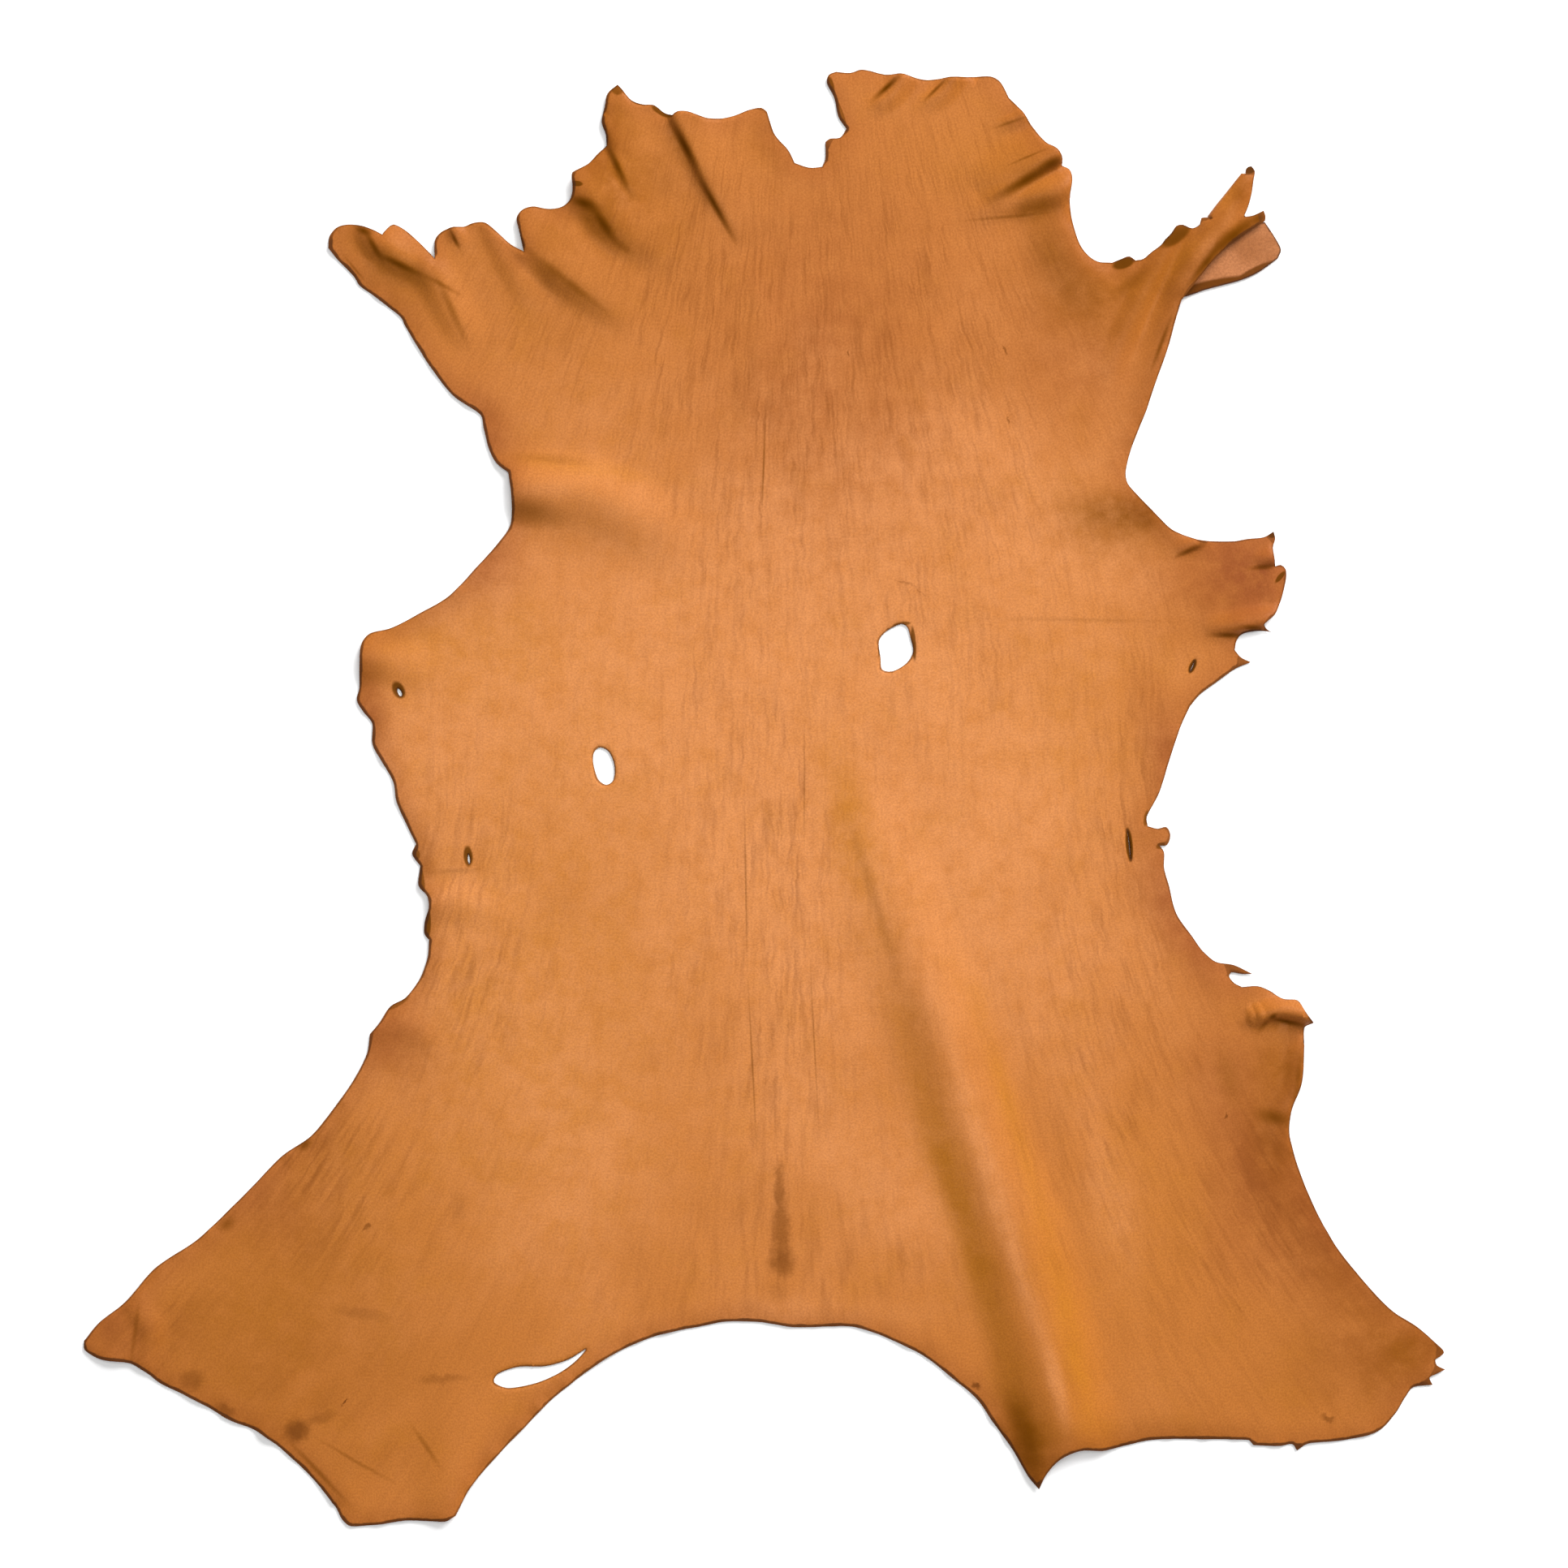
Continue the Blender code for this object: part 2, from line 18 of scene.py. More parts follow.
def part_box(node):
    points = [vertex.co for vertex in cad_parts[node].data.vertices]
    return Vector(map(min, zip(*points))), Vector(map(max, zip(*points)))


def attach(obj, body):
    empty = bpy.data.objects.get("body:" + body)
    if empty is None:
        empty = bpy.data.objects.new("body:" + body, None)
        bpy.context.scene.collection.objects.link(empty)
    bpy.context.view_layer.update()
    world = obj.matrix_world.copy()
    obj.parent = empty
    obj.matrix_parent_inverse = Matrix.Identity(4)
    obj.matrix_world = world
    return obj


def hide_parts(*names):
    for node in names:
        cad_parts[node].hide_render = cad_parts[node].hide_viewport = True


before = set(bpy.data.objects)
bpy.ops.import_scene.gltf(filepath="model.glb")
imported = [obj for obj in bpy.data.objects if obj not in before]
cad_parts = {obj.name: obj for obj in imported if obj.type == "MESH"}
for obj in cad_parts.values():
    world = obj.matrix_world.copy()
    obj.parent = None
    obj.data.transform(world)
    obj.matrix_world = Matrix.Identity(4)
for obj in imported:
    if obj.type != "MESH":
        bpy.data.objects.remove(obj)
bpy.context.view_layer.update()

# Sizes in metres
HIDE_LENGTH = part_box("hide")[1].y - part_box("hide")[0].y
THICKNESS = 0.0020
TURN_LENGTH = 0.014  # leather that the turned-under end takes round its bend
EDGE_ROUND = 0.003  # how far in the worn round of the edge reaches
FRILL_HEIGHT = 0.0022  # how far the margin waves up
FRILL_WIDTH = 0.009
FRILL_LENGTH = 0.016
SWELL_HEIGHT = 0.0012  # the unevenness all over the skin
SWELL_LENGTH = 0.075
MILLIMETRE = 0.001

EDGE_WEAR = 0.6  # the share of the thickness that is worn off at the edge
FRILL_SHARE = 0.15  # raises the waves of the margin, so that more than half of it stands up

# The mesh, in metres
EDGE_STEP = 0.0032  # longest step along the edge
CREST_STEP = 0.006  # longest step along a fold's crest
FINE_STEP = 0.0027  # spacing of the mesh on a narrow fold
NARROW_FOLD = 0.020  # a fold with a side under this width gets the fine mesh
HOLE_ROOM = 0.010  # how far a hole's fine mesh reaches, and how far in the margin's own looks do
PROBE = 0.0002  # distance over which slopes are measured
SAME_PLACE = 1e-6  # points nearer than this are one

EDGE_ROOM = 0.5  # the least distance from the field to the edge, in steps
ROW_SHARE = math.sqrt(3) / 2  # distance between rows of a triangular grid, in steps
SHARP_ANGLE = 50  # faces that meet more steeply than this keep a crease between them
GRAIN, FLESH, CUT = 0, 1, 2  # the three materials of the skin

# The drawn lines run along the spine and fan out above and below the waist
SPINE_COLUMN = 985
WAIST_ROW = 900
FAN_BELOW = 0.62  # how far below the waist the lines have spread to twice their width
FAN_ABOVE = 0.52  # how far above it they have closed to half
LINE_WANDER = 0.011  # how far the lines wander where they aren't spread
WANDER_SCALE = 45.0
COARSE_LINES = (190, 16, 0)  # waves a metre across and along the lines
THIN_LINES = (320, 28, 0)
LINE_BREAKS = (50, 14, 14)  # the clouds in which the lines fade in and out
LINED_LEAST = 0.28  # how strong the lines are where no zone raises them

# The clouds of the dye, in waves a metre
CLOUDS = 7
PATCHES = 20
MOTTLE = 45
FINE_MOTTLE = 120
SPECKLE = 560
SUEDE_CLOUDS = 22
SUEDE_FIBRES = 420
CUT_FIBRES = (260, 260, 900)  # finer through the thickness

# The dark cut edge, seen as a rim of the grain side, widened and darkened by painted shade on the
# margins that face away from the key light
RIM_SHADE_WAY = (-0.6, -0.8)  # the margins that face this way, away from the key light, get the most painted shade on their rim
RIM_SHADE_REACH = 3  # samples of the edge on each side that settle which way a margin faces
HOLE_RIM_SHADE = 0.5  # how much of the rim's painted shade the holes get
RIM_LEAST = 0.0011
RIM_MORE = 0.0016  # how much wider the rim is where it is painted shade, on margins that face straight away from the key light
RIM_RAGGED = 0.0006
RUDDY_MARGIN = 0.026  # how far in from the margin the dye is redder

# A zone fades outwards, and a mark between two shares of its half sizes, outer and inner
ZONE_FALL = 1.2
STAIN_BORDER = (1.3, 0.3)
CREASE_BORDER = (1.3, 0.0)
CURL_BORDER = (1.2, 0.75)
LIP_BORDER = (1.2, 0.7)
STAIN_RAGGED = 0.010  # how far a stain's outline strays
STAIN_RAGGED_SCALE = 160.0

# The studio: place, side in metres and watts of each soft box
OVER_WHITE = 1.2  # the studio light, against one that just makes the floor white
KEY_LIGHT = ((4.0, 5.7, 4.2), 4.6, 870)
TOP_LIGHT = ((0.0, 0.3, 4.6), 3.0, 95)
SKY_LIGHT = 0.2
FLOOR_REACH = 6.0
FLOOR_DROP = 0.0004
LENS = 85  # millimetres
SENSOR = 36


def linear(red, green, blue):
    """A dye given as it looks on a screen, 0 to 255, as the share of the studio light it returns."""
    shares = (c / 255 for c in (red, green, blue))
    light = (s / 12.92 if s <= 0.04045 else ((s + 0.055) / 1.055) ** 2.4 for s in shares)
    return (*(s / OVER_WHITE for s in light), 1.0)


# TAN_PALE is also painted highlight through the pale zones, and AMBER and BROWN are also painted
# shade through the amber and brown zones
TAN_PALE = linear(224, 143, 77)
TAN_DEEP = linear(198, 118, 43)
TAN_WARM = linear(202, 122, 50)
AMBER = linear(196, 120, 20)
RUDDY = linear(154, 82, 40)
BROWN = linear(142, 80, 6)
LINE_BROWN = linear(118, 62, 26)
STAIN = linear(108, 58, 22)
# painted shade in creases and hollows, also the colour of single dark lines
SHADE_AND_LINE_BROWN = linear(98, 52, 0)
# dark curled margins, and painted shadow under curls and inside holes
CURL_AND_SHADOW_BROWN = linear(98, 54, 4)
EDGE_BROWN = linear(70, 40, 24)
EDGE_PALE = linear(110, 66, 40)
LIP_BROWN = linear(106, 56, 6)
SUEDE_PALE = linear(194, 126, 80)
SUEDE_DEEP = linear(170, 106, 62)
SUEDE_DARK = linear(118, 68, 38)
FLOOR_WHITE = (0.97, 0.97, 0.97, 1.0)

# The tables below give places in picture pixels, across to the right and down
PICTURE_SIDE = 1932
TOP_ROW = 86
BOTTOM_ROW = 1880
MIDDLE_ROW = 983
MIDDLE_COLUMN = 942
PIXEL = HIDE_LENGTH / (BOTTOM_ROW - TOP_ROW)

# The crease of the turned-under end runs straight between these two points
CREASE_START = (1494, 272)
CREASE_END = (1534, 216)

# The edge, clockwise from the middle of the neck: one smooth stretch a row, a corner at each end
EDGE = (
    ("neck notch", (1013, 206), (1017, 196), (1017, 175)),
    ("notch step", (1017, 175), (1023, 171), (1035, 170), (1043, 159)),
    ("neck lobe left", (1043, 159), (1033, 144), (1028, 121), (1019, 103), (1021, 93), (1030, 89)),
    ("neck lobe top", (1030, 89), (1048, 90), (1062, 86), (1090, 92), (1110, 92), (1128, 97),
     (1143, 99), (1163, 97), (1204, 95), (1222, 95), (1233, 102), (1243, 121)),
    ("neck lobe right", (1243, 121), (1260, 139), (1273, 159), (1288, 178), (1301, 186),
     (1308, 197), (1307, 205)),
    ("neck side", (1307, 205), (1317, 210), (1320, 222), (1317, 246), (1320, 272), (1328, 299),
     (1338, 314), (1352, 323), (1370, 324)),
    ("curled nub", (1370, 324), (1382, 319), (1391, 316), (1399, 321)),
    ("foreleg upper edge", (1399, 321), (1409, 319), (1419, 311), (1430, 303), (1435, 296)),
    ("foreleg tab", (1435, 296), (1443, 288), (1449, 279), (1457, 277), (1469, 282), (1478, 278),
     (1480, 270), (1488, 270)),
    ("tab to crease", (1488, 270), (1494, 272)),
    ("crease", (1494, 272), (1504, 258), (1514, 244), (1524, 230), (1534, 216)),
    ("spike left", (1534, 216), (1534, 211), (1537, 207), (1541, 206)),
    ("spike right", (1541, 206), (1545, 212), (1543, 224), (1541, 238), (1537, 254), (1531, 269)),
    ("strap top", (1531, 269), (1543, 267), (1556, 261)),
    ("strap end", (1556, 261), (1558, 268), (1557, 274)),
    ("foreleg ridge", (1557, 274), (1536, 287), (1512, 304), (1490, 326), (1471, 350),
     (1454, 372)),
    ("foreleg to waist", (1454, 372), (1447, 396), (1438, 430), (1424, 470), (1411, 509),
     (1395, 549), (1387, 580), (1389, 596), (1402, 612), (1428, 638), (1443, 652), (1459, 660)),
    ("wing top", (1459, 660), (1478, 666), (1520, 667), (1538, 664), (1557, 662), (1569, 655)),
    ("wing upper lobe", (1569, 655), (1571, 664), (1568, 676), (1571, 698)),
    ("wing curl", (1571, 698), (1578, 696), (1584, 702), (1584, 716), (1578, 739), (1570, 757),
     (1556, 769)),
    ("wing thin point top", (1556, 769), (1559, 774), (1566, 779)),
    ("wing bite", (1566, 779), (1553, 777), (1539, 778), (1530, 781), (1523, 790), (1521, 801)),
    ("wing barb top", (1521, 801), (1529, 810), (1541, 816)),
    ("wing lower edge", (1541, 816), (1522, 824), (1499, 840), (1478, 856), (1466, 870)),
    ("right flank", (1466, 870), (1453, 899), (1440, 939), (1428, 977), (1413, 1006),
     (1414, 1018)),
    ("flank button", (1414, 1018), (1426, 1021), (1437, 1019), (1442, 1029), (1438, 1041),
     (1429, 1042)),
    ("lower right flank", (1429, 1042), (1434, 1050), (1434, 1069), (1440, 1091), (1449, 1125),
     (1469, 1154), (1482, 1172), (1498, 1185), (1520, 1189), (1543, 1200)),
    ("barb underside", (1543, 1200), (1530, 1200), (1517, 1198), (1514, 1203), (1520, 1211),
     (1530, 1216)),
    ("pinched corner top", (1530, 1216), (1549, 1215), (1565, 1221), (1580, 1231), (1598, 1233),
     (1606, 1246), (1617, 1259)),
    ("right hind leg outside", (1617, 1259), (1607, 1266), (1606, 1288), (1603, 1332),
     (1590, 1370), (1589, 1402), (1611, 1469), (1643, 1531), (1678, 1576), (1714, 1614),
     (1745, 1634), (1768, 1654), (1779, 1666), (1768, 1675)),
    ("upper shred", (1768, 1675), (1770, 1682), (1780, 1687)),
    ("lower shred", (1780, 1687), (1768, 1693), (1761, 1697), (1765, 1706)),
    ("right foot", (1765, 1706), (1741, 1709), (1731, 1721), (1719, 1741), (1698, 1763),
     (1656, 1774), (1612, 1778), (1598, 1787)),
    ("right hind leg inside", (1598, 1787), (1592, 1779), (1578, 1781), (1544, 1780),
     (1539, 1774), (1482, 1773), (1419, 1774), (1361, 1786), (1330, 1785), (1306, 1795),
     (1289, 1815), (1280, 1834)),
    ("rear arch", (1280, 1834), (1266, 1817), (1248, 1786), (1225, 1754), (1203, 1723),
     (1176, 1700), (1136, 1669), (1078, 1642), (1046, 1634), (979, 1635), (939, 1629),
     (895, 1628), (868, 1633), (814, 1644), (770, 1661), (734, 1682), (680, 1724), (645, 1760),
     (612, 1794), (580, 1832), (562, 1866)),
    ("left foot", (562, 1866), (549, 1873), (500, 1873), (473, 1877), (433, 1880), (422, 1872),
     (413, 1855), (388, 1824), (353, 1790), (321, 1765), (281, 1748), (254, 1732), (223, 1716),
     (196, 1703), (183, 1692), (161, 1679), (125, 1674), (105, 1663), (104, 1652)),
    ("left hind leg outside", (104, 1652), (123, 1629), (156, 1603), (192, 1562), (241, 1529),
     (272, 1501), (313, 1460), (348, 1424), (384, 1399), (411, 1366), (435, 1332), (452, 1299),
     (456, 1274)),
    ("left haunch", (456, 1274), (469, 1259), (481, 1240), (500, 1229), (518, 1205),
     (527, 1180), (529, 1158)),
    ("haunch frill", (529, 1158), (523, 1150), (524, 1134), (529, 1118), (527, 1104), (516, 1091),
     (518, 1067)),
    ("frill nub", (518, 1067), (508, 1052), (513, 1040)),
    ("left flank", (513, 1040), (504, 1022), (489, 988), (485, 964), (471, 939), (459, 917),
     (459, 892), (448, 877), (440, 863), (443, 848), (444, 819), (446, 794), (456, 781),
     (482, 774), (513, 758), (554, 734), (594, 692), (623, 658), (630, 643), (631, 612),
     (627, 583)),
    ("left armpit", (627, 583), (612, 571), (603, 554), (596, 527), (592, 511), (558, 487),
     (531, 453), (512, 423), (499, 401), (494, 391), (478, 378), (460, 364), (443, 352),
     (437, 342), (427, 331), (416, 320), (405, 306)),
    ("left foreleg tip", (405, 306), (406, 292), (415, 281), (430, 277), (446, 279), (461, 285),
     (472, 291)),
    ("foreleg bump", (472, 291), (478, 282), (485, 277), (499, 284), (514, 297), (528, 311),
     (536, 320)),
    ("foreleg lobe", (536, 320), (536, 297), (543, 287), (556, 281), (571, 280), (584, 275),
     (598, 275), (612, 286), (630, 302), (646, 311)),
    ("neck left lobe", (646, 311), (641, 288), (637, 270), (643, 260), (656, 255), (675, 258),
     (691, 256), (702, 248), (706, 237), (705, 220)),
    ("neck left rise", (705, 220), (706, 214), (725, 203), (738, 189), (748, 180)),
    ("neck left horn", (748, 180), (747, 166), (742, 151), (746, 130), (749, 116), (761, 105)),
    ("horn to crease", (761, 105), (766, 110), (778, 124), (792, 129), (806, 130), (818, 139),
     (829, 143)),
    ("neck left top", (829, 143), (835, 139), (847, 139), (859, 143), (872, 147), (890, 147),
     (906, 143), (922, 136), (938, 133), (945, 138)),
    ("neck left inner side", (945, 138), (953, 163), (960, 173), (971, 185), (979, 201)),
    ("neck left floor", (979, 201), (997, 207), (1013, 206)),
)

# The turned-under end of the right foreleg, as it lies, from one end of the crease to the other
TURNED_END = (
    ("crease end", (1534, 216), (1533, 240), (1529, 262)),
    ("far notch", (1529, 262), (1543, 274), (1558, 274)),
    ("far corner", (1558, 274), (1570, 292), (1578, 308), (1574, 319)),
    ("lower margin", (1574, 319), (1550, 336), (1527, 346), (1486, 357), (1459, 366),
     (1450, 362)),
    ("hidden side", (1450, 362), (1462, 335), (1478, 303), (1494, 272)),
)

# The holes, each one closed smooth curve
HOLES = (
    ("round wound", (1110, 769), (1118, 773), (1122, 787), (1125, 803), (1117, 817), (1100, 827),
     (1087, 825), (1085, 811), (1083, 790), (1092, 778)),
    ("oval wound", (739, 921), (750, 926), (757, 943), (756, 961), (747, 967), (737, 960),
     (731, 940), (732, 927)),
    ("left wing hole", (489.6, 849), (491.6, 848.4), (495, 853), (495.4, 857.6), (493, 857.8),
     (490.2, 853.4)),
    ("left flank slit", (577.2, 1052), (578.9, 1057), (579.2, 1062), (578.2, 1065), (576.8, 1061),
     (576.5, 1056)),
    ("rear slot", (609, 1703), (613, 1693), (638, 1684), (672, 1683), (700, 1675), (722, 1662),
     (709, 1677), (688, 1692), (660, 1704), (626, 1710)),
    ("right wing hole", (1471.6, 814.4), (1470.3, 818.6), (1468.6, 823.2), (1466.4, 827.6),
     (1468.1, 823), (1469.8, 818.4)),
    ("right flank slit", (1388.8, 1023), (1390.7, 1035), (1392, 1047), (1393, 1060),
     (1391.5, 1047), (1390.2, 1035)),
)

# The folds. The crest of each is a smooth curve of (across, down, height) with height in
# millimetres. The leather falls to the ground within one width on the right of the way that the
# crest runs and within the other on its left, both in millimetres.
FOLDS = (
    ("long haunch ridge", 60, 52, (1048, 930, 0), (1082, 1050, 3), (1122, 1160, 5),
     (1163, 1270, 8), (1204, 1390, 10), (1244, 1490, 12), (1270, 1580, 13), (1290, 1655, 14),
     (1304, 1720, 13), (1318, 1780, 11), (1330, 1830, 8)),
    ("left waist ridge", 40, 38, (600, 606, 5), (628, 604, 7), (660, 602, 9), (719, 606, 8),
     (767, 624, 6), (812, 652, 3), (855, 685, 0)),
    ("neck crease", 10, 60, (826, 120, 5), (838, 152, 7), (851, 177, 7), (865, 209, 7),
     (880, 237, 6), (895, 261, 4), (910, 288, 2), (918, 304, 0)),
    ("horn crease", 10, 46, (748, 146, 2), (757, 178, 4), (766, 203, 5), (775, 224, 4),
     (786, 240, 2), (797, 256, 0)),
    ("slit fold", 26, 50, (706, 230, 6), (726, 240, 9), (742, 254, 11), (753, 272, 11),
     (769, 287, 8), (797, 300, 4), (834, 320, 0)),
    ("lobe fold", 22, 56, (640, 266, 3), (650, 290, 5), (668, 314, 7), (692, 337, 8),
     (721, 358, 6), (747, 376, 4), (790, 398, 0)),
    ("left foreleg fold", 20, 26, (450, 262, 5), (458, 283, 7), (466, 299, 9), (482, 311, 10),
     (502, 322, 9), (521, 330, 8), (535, 344, 7), (548, 370, 5), (562, 396, 4), (584, 434, 0)),
    ("foreleg lobe fold", 16, 24, (598, 262, 3), (620, 312, 3), (642, 352, 2), (666, 394, 0)),
    ("foreleg lobe crease", 6, 12, (556, 272, 4), (562, 288, 4), (572, 308, 0)),
    ("neck top crease", 9, 16, (1116, 88, 6), (1102, 113, 5), (1084, 127, 3), (1070, 135, 0)),
    ("second top crease", 9, 16, (1175, 95, 5), (1161, 115, 4), (1143, 125, 2), (1129, 131, 0)),
    ("neck lobe crease", 7, 14, (1270, 138, 4), (1248, 148, 3), (1228, 154, 0)),
    ("neck right fold", 44, 14, (1322, 180, 11), (1303, 190, 12), (1284, 201, 11),
     (1262, 215, 9), (1240, 230, 6), (1212, 248, 0)),
    ("neck shoulder fold", 20, 18, (1322, 232, 7), (1285, 240, 7), (1240, 252, 4),
     (1190, 266, 0)),
    ("neck side ridge", 40, 20, (1306, 222, 4), (1305, 260, 6), (1312, 296, 7), (1330, 326, 6),
     (1356, 350, 3), (1380, 372, 0)),
    ("foreleg shoulder ridge", 16, 16, (1440, 296, 3), (1424, 334, 5), (1402, 376, 5),
     (1378, 430, 3), (1360, 480, 0)),
    ("right foreleg ridge", 26, 26, (1410, 512, 0), (1424, 472, 3), (1436, 430, 6),
     (1446, 396, 9), (1457, 368, 11), (1470, 338, 12), (1488, 306, 12), (1506, 274, 12),
     (1526, 242, 8), (1544, 204, 3)),
    ("foreleg strap", 30, 24, (1466, 362, 2), (1492, 330, 4), (1520, 302, 5), (1562, 266, 6)),
    ("wing top crease", 12, 7, (1490, 654, 5), (1478, 666, 5), (1462, 674, 4), (1442, 682, 0)),
    ("wing edge crease", 12, 8, (1584, 684, 6), (1566, 688, 5), (1540, 694, 0)),
    ("wing bottom fold", 18, 9, (1578, 766, 9), (1552, 766, 8), (1530, 770, 8), (1506, 774, 5),
     (1480, 776, 0)),
    ("pinched corner fold", 10, 14, (1536, 1262, 0), (1556, 1250, 8), (1578, 1245, 11),
     (1602, 1249, 12), (1622, 1254, 12)),
    ("haunch edge roll", 18, 30, (1604, 1300, 5), (1598, 1340, 5), (1576, 1385, 3),
     (1560, 1420, 0)),
    ("left wing roll", 26, 30, (430, 812, 6), (462, 812, 5), (505, 822, 3), (545, 838, 0)),
    ("left flank roll", 24, 24, (498, 1118, 5), (540, 1112, 4), (590, 1118, 2), (640, 1140, 0)),
    ("right waist roll", 34, 26, (1450, 630, 4), (1415, 622, 4), (1360, 618, 3), (1300, 622, 0)),
    ("left foot roll", 30, 40, (128, 1700, 4), (160, 1652, 4), (190, 1600, 3), (225, 1560, 0)),
    ("inner foot roll", 34, 40, (560, 1885, 5), (556, 1830, 5), (568, 1770, 3), (600, 1700, 0)),
)

# Small wrinkles that are in the looks alone, in the same form as the folds
WRINKLES = (
    ("pinch wrinkle one", 3, 3, (1546, 1238, 1), (1553, 1250, 2), (1549, 1262, 1)),
    ("pinch wrinkle two", 3, 3, (1536, 1240, 1), (1543, 1253, 2), (1538, 1266, 1)),
    ("left foot wrinkle", 12, 20, (150, 1590, 1), (186, 1640, 3), (176, 1690, 2)),
    ("left foot second", 14, 20, (330, 1770, 3), (366, 1720, 3), (410, 1690, 1)),
    ("left foot third", 14, 22, (420, 1840, 3), (450, 1790, 3), (500, 1750, 1)),
    ("left margin wrinkle", 4, 5, (424, 308, 1), (438, 322, 2), (452, 340, 1)),
    ("haunch wrinkle", 14, 14, (470, 1270, 2), (500, 1262, 3), (540, 1290, 1)),
    ("spine dent", 20, 20, (925, 340, 1), (940, 400, 2), (930, 470, 1)),
)

# Soft tilted ellipses: across, down, half width, half height, tilt in degrees, strength. The ruddy
# zones are dye; the brown and amber zones are partly dye and partly painted shade on fold slopes and
# in hollows; the pale zones are partly paler dye and partly painted highlight on crests and the lit
# middle; the lined zones set the strength of the drawn grain.
RUDDY_ZONES = (
    ("neck middle", 1015, 450, 190, 230, 0, 0.5),
    ("neck top", 1110, 250, 260, 160, 0, 0.15),
    ("right shoulder", 1330, 430, 110, 120, 0, 0.45),
    ("wing tip", 1537, 705, 84, 84, 0, 1.0),
    ("wing tip core", 1548, 700, 44, 52, 0, 0.5),
    ("wing root", 1470, 720, 90, 60, 0, 0.25),
    ("right flank", 1440, 930, 34, 90, 15, 0.7),
    ("lower right flank", 1460, 1130, 44, 110, 30, 0.8),
    ("right haunch", 1590, 1480, 60, 190, 35, 0.9),
    ("right haunch top", 1530, 1330, 60, 90, 20, 0.4),
    ("right haunch low", 1530, 1520, 60, 90, 30, 0.35),
    ("right foot", 1700, 1670, 80, 60, 0, 0.45),
    ("left waist edge", 600, 690, 50, 50, 45, 0.6),
    ("left armpit", 600, 540, 40, 80, 20, 0.6),
    ("left wing edge", 456, 880, 24, 80, 0, 0.6),
    ("left haunch edge", 480, 1270, 50, 70, 30, 0.7),
    ("left hind leg", 330, 1480, 60, 120, 45, 0.4),
    ("left foot tip", 150, 1640, 60, 50, 0, 0.6),
)
# Darker brown dye, and painted shade in hollows, on steep fold slopes, on the strap, spike and tab
# and at the ridge's point
BROWN_AND_SHADE_ZONES = (
    ("left hind leg", 300, 1610, 200, 130, 30, 0.35),
    ("left foot middle", 380, 1710, 180, 90, 20, 0.35),
    ("left foot margin", 450, 1800, 120, 40, 15, 0.2),
    ("left foreleg", 480, 340, 90, 90, 0, 0.5),
    ("neck left", 755, 240, 110, 110, 0, 0.7),
    ("neck left top", 950, 180, 60, 50, 0, 0.45),
    ("horn", 752, 160, 26, 64, 0, 0.8),
    ("neck right top", 1280, 170, 60, 70, 0, 0.5),
    ("neck right side", 1305, 290, 40, 40, 0, 0.35),
    ("right shoulder", 1350, 350, 90, 80, 0, 0.6),
    ("right foreleg", 1436, 330, 60, 70, -20, 0.5),
    ("ridge foot top", 1135, 1270, 20, 130, 17, 0.35),
    ("ridge foot", 1203, 1550, 22, 200, 18, 0.35),
    ("ridge point", 1268, 1785, 44, 90, 18, 1.0),
    ("right arm", 1412, 512, 26, 76, -20, 0.4),
    ("right foot", 1650, 1690, 130, 80, 0, 0.35),
    ("right foot tip", 1740, 1650, 60, 60, 0, 0.7),
    ("right hind edge", 1580, 1400, 50, 110, 10, 0.6),
    ("right hind leg", 1660, 1560, 50, 130, 40, 0.4),
    ("left waist", 700, 660, 120, 26, -15, 0.25),
    ("right waist", 1405, 626, 96, 50, 10, 0.95),
    ("wing root", 1500, 760, 60, 60, 0, 0.2),
    ("neck folds foot", 1280, 257, 28, 15, 8, 0.9),
    ("neck folds top", 1272, 216, 44, 10, 28, 0.5),
    ("pinched corner shade", 1585, 1310, 36, 50, 0, 0.6),
    ("foreleg tab", 1450, 292, 22, 12, 35, 0.9),
    ("foreleg crease", 1480, 300, 50, 16, 45, 0.25),
    ("strap", 1520, 294, 56, 16, 42, 1.0),
    ("spike", 1526, 244, 18, 50, -34, 1.0),
    ("foreleg ridge", 1474, 346, 14, 50, -32, 0.5),
    ("notch curl", 1386, 320, 14, 6, 0, 0.9),
    ("left foreleg hollow", 482, 320, 44, 12, -30, 0.7),
    ("slit hollow", 732, 264, 36, 13, -50, 0.8),
    ("lobe hollow", 702, 350, 50, 9, -34, 0.6),
    ("neck side", 1340, 390, 60, 30, -20, 0.15),
    ("left wing corner", 452, 826, 24, 16, 0, 0.6),
    ("neck left low", 640, 320, 60, 60, 0, 0.3),
    ("left leg margin", 392, 1412, 50, 60, 45, 0.35),
    ("left arm margin", 512, 752, 60, 30, 25, 0.3),
    ("left flank margin", 516, 1080, 26, 70, 0, 0.45),
    ("right hind margin", 1390, 1772, 130, 30, 3, 0.4),
    ("left shoulder", 680, 410, 90, 110, 0, 0.2),
)
# Saturated amber dye, and painted shade in bands along fold slopes that turn away from the overhead
# sheen
AMBER_AND_SHADE_ZONES = (
    ("waist band", 710, 576, 110, 11, -8, 0.6),
    ("ridge band top", 1250, 1390, 13, 150, 17, 0.75),
    ("ridge band bottom", 1318, 1650, 18, 140, 13, 0.7),
    ("ridge head", 1052, 1020, 30, 130, 14, 0.7),
    ("neck left", 740, 150, 40, 60, 0, 0.4),
    ("left flank", 560, 800, 160, 60, 0, 0.5),
    ("left body", 640, 1250, 200, 280, 0, 0.4),
    ("left middle", 700, 1000, 120, 200, 0, 0.15),
    ("ridge trough", 1188, 1500, 24, 240, 18, 0.8),
    ("right body", 1330, 880, 120, 140, 0, 0.25),
    ("neck right", 1200, 200, 80, 50, 0, 0.4),
    ("left foot", 380, 1560, 160, 80, 30, 0.4),
    ("right leg", 1420, 1500, 90, 160, -20, 0.25),
)
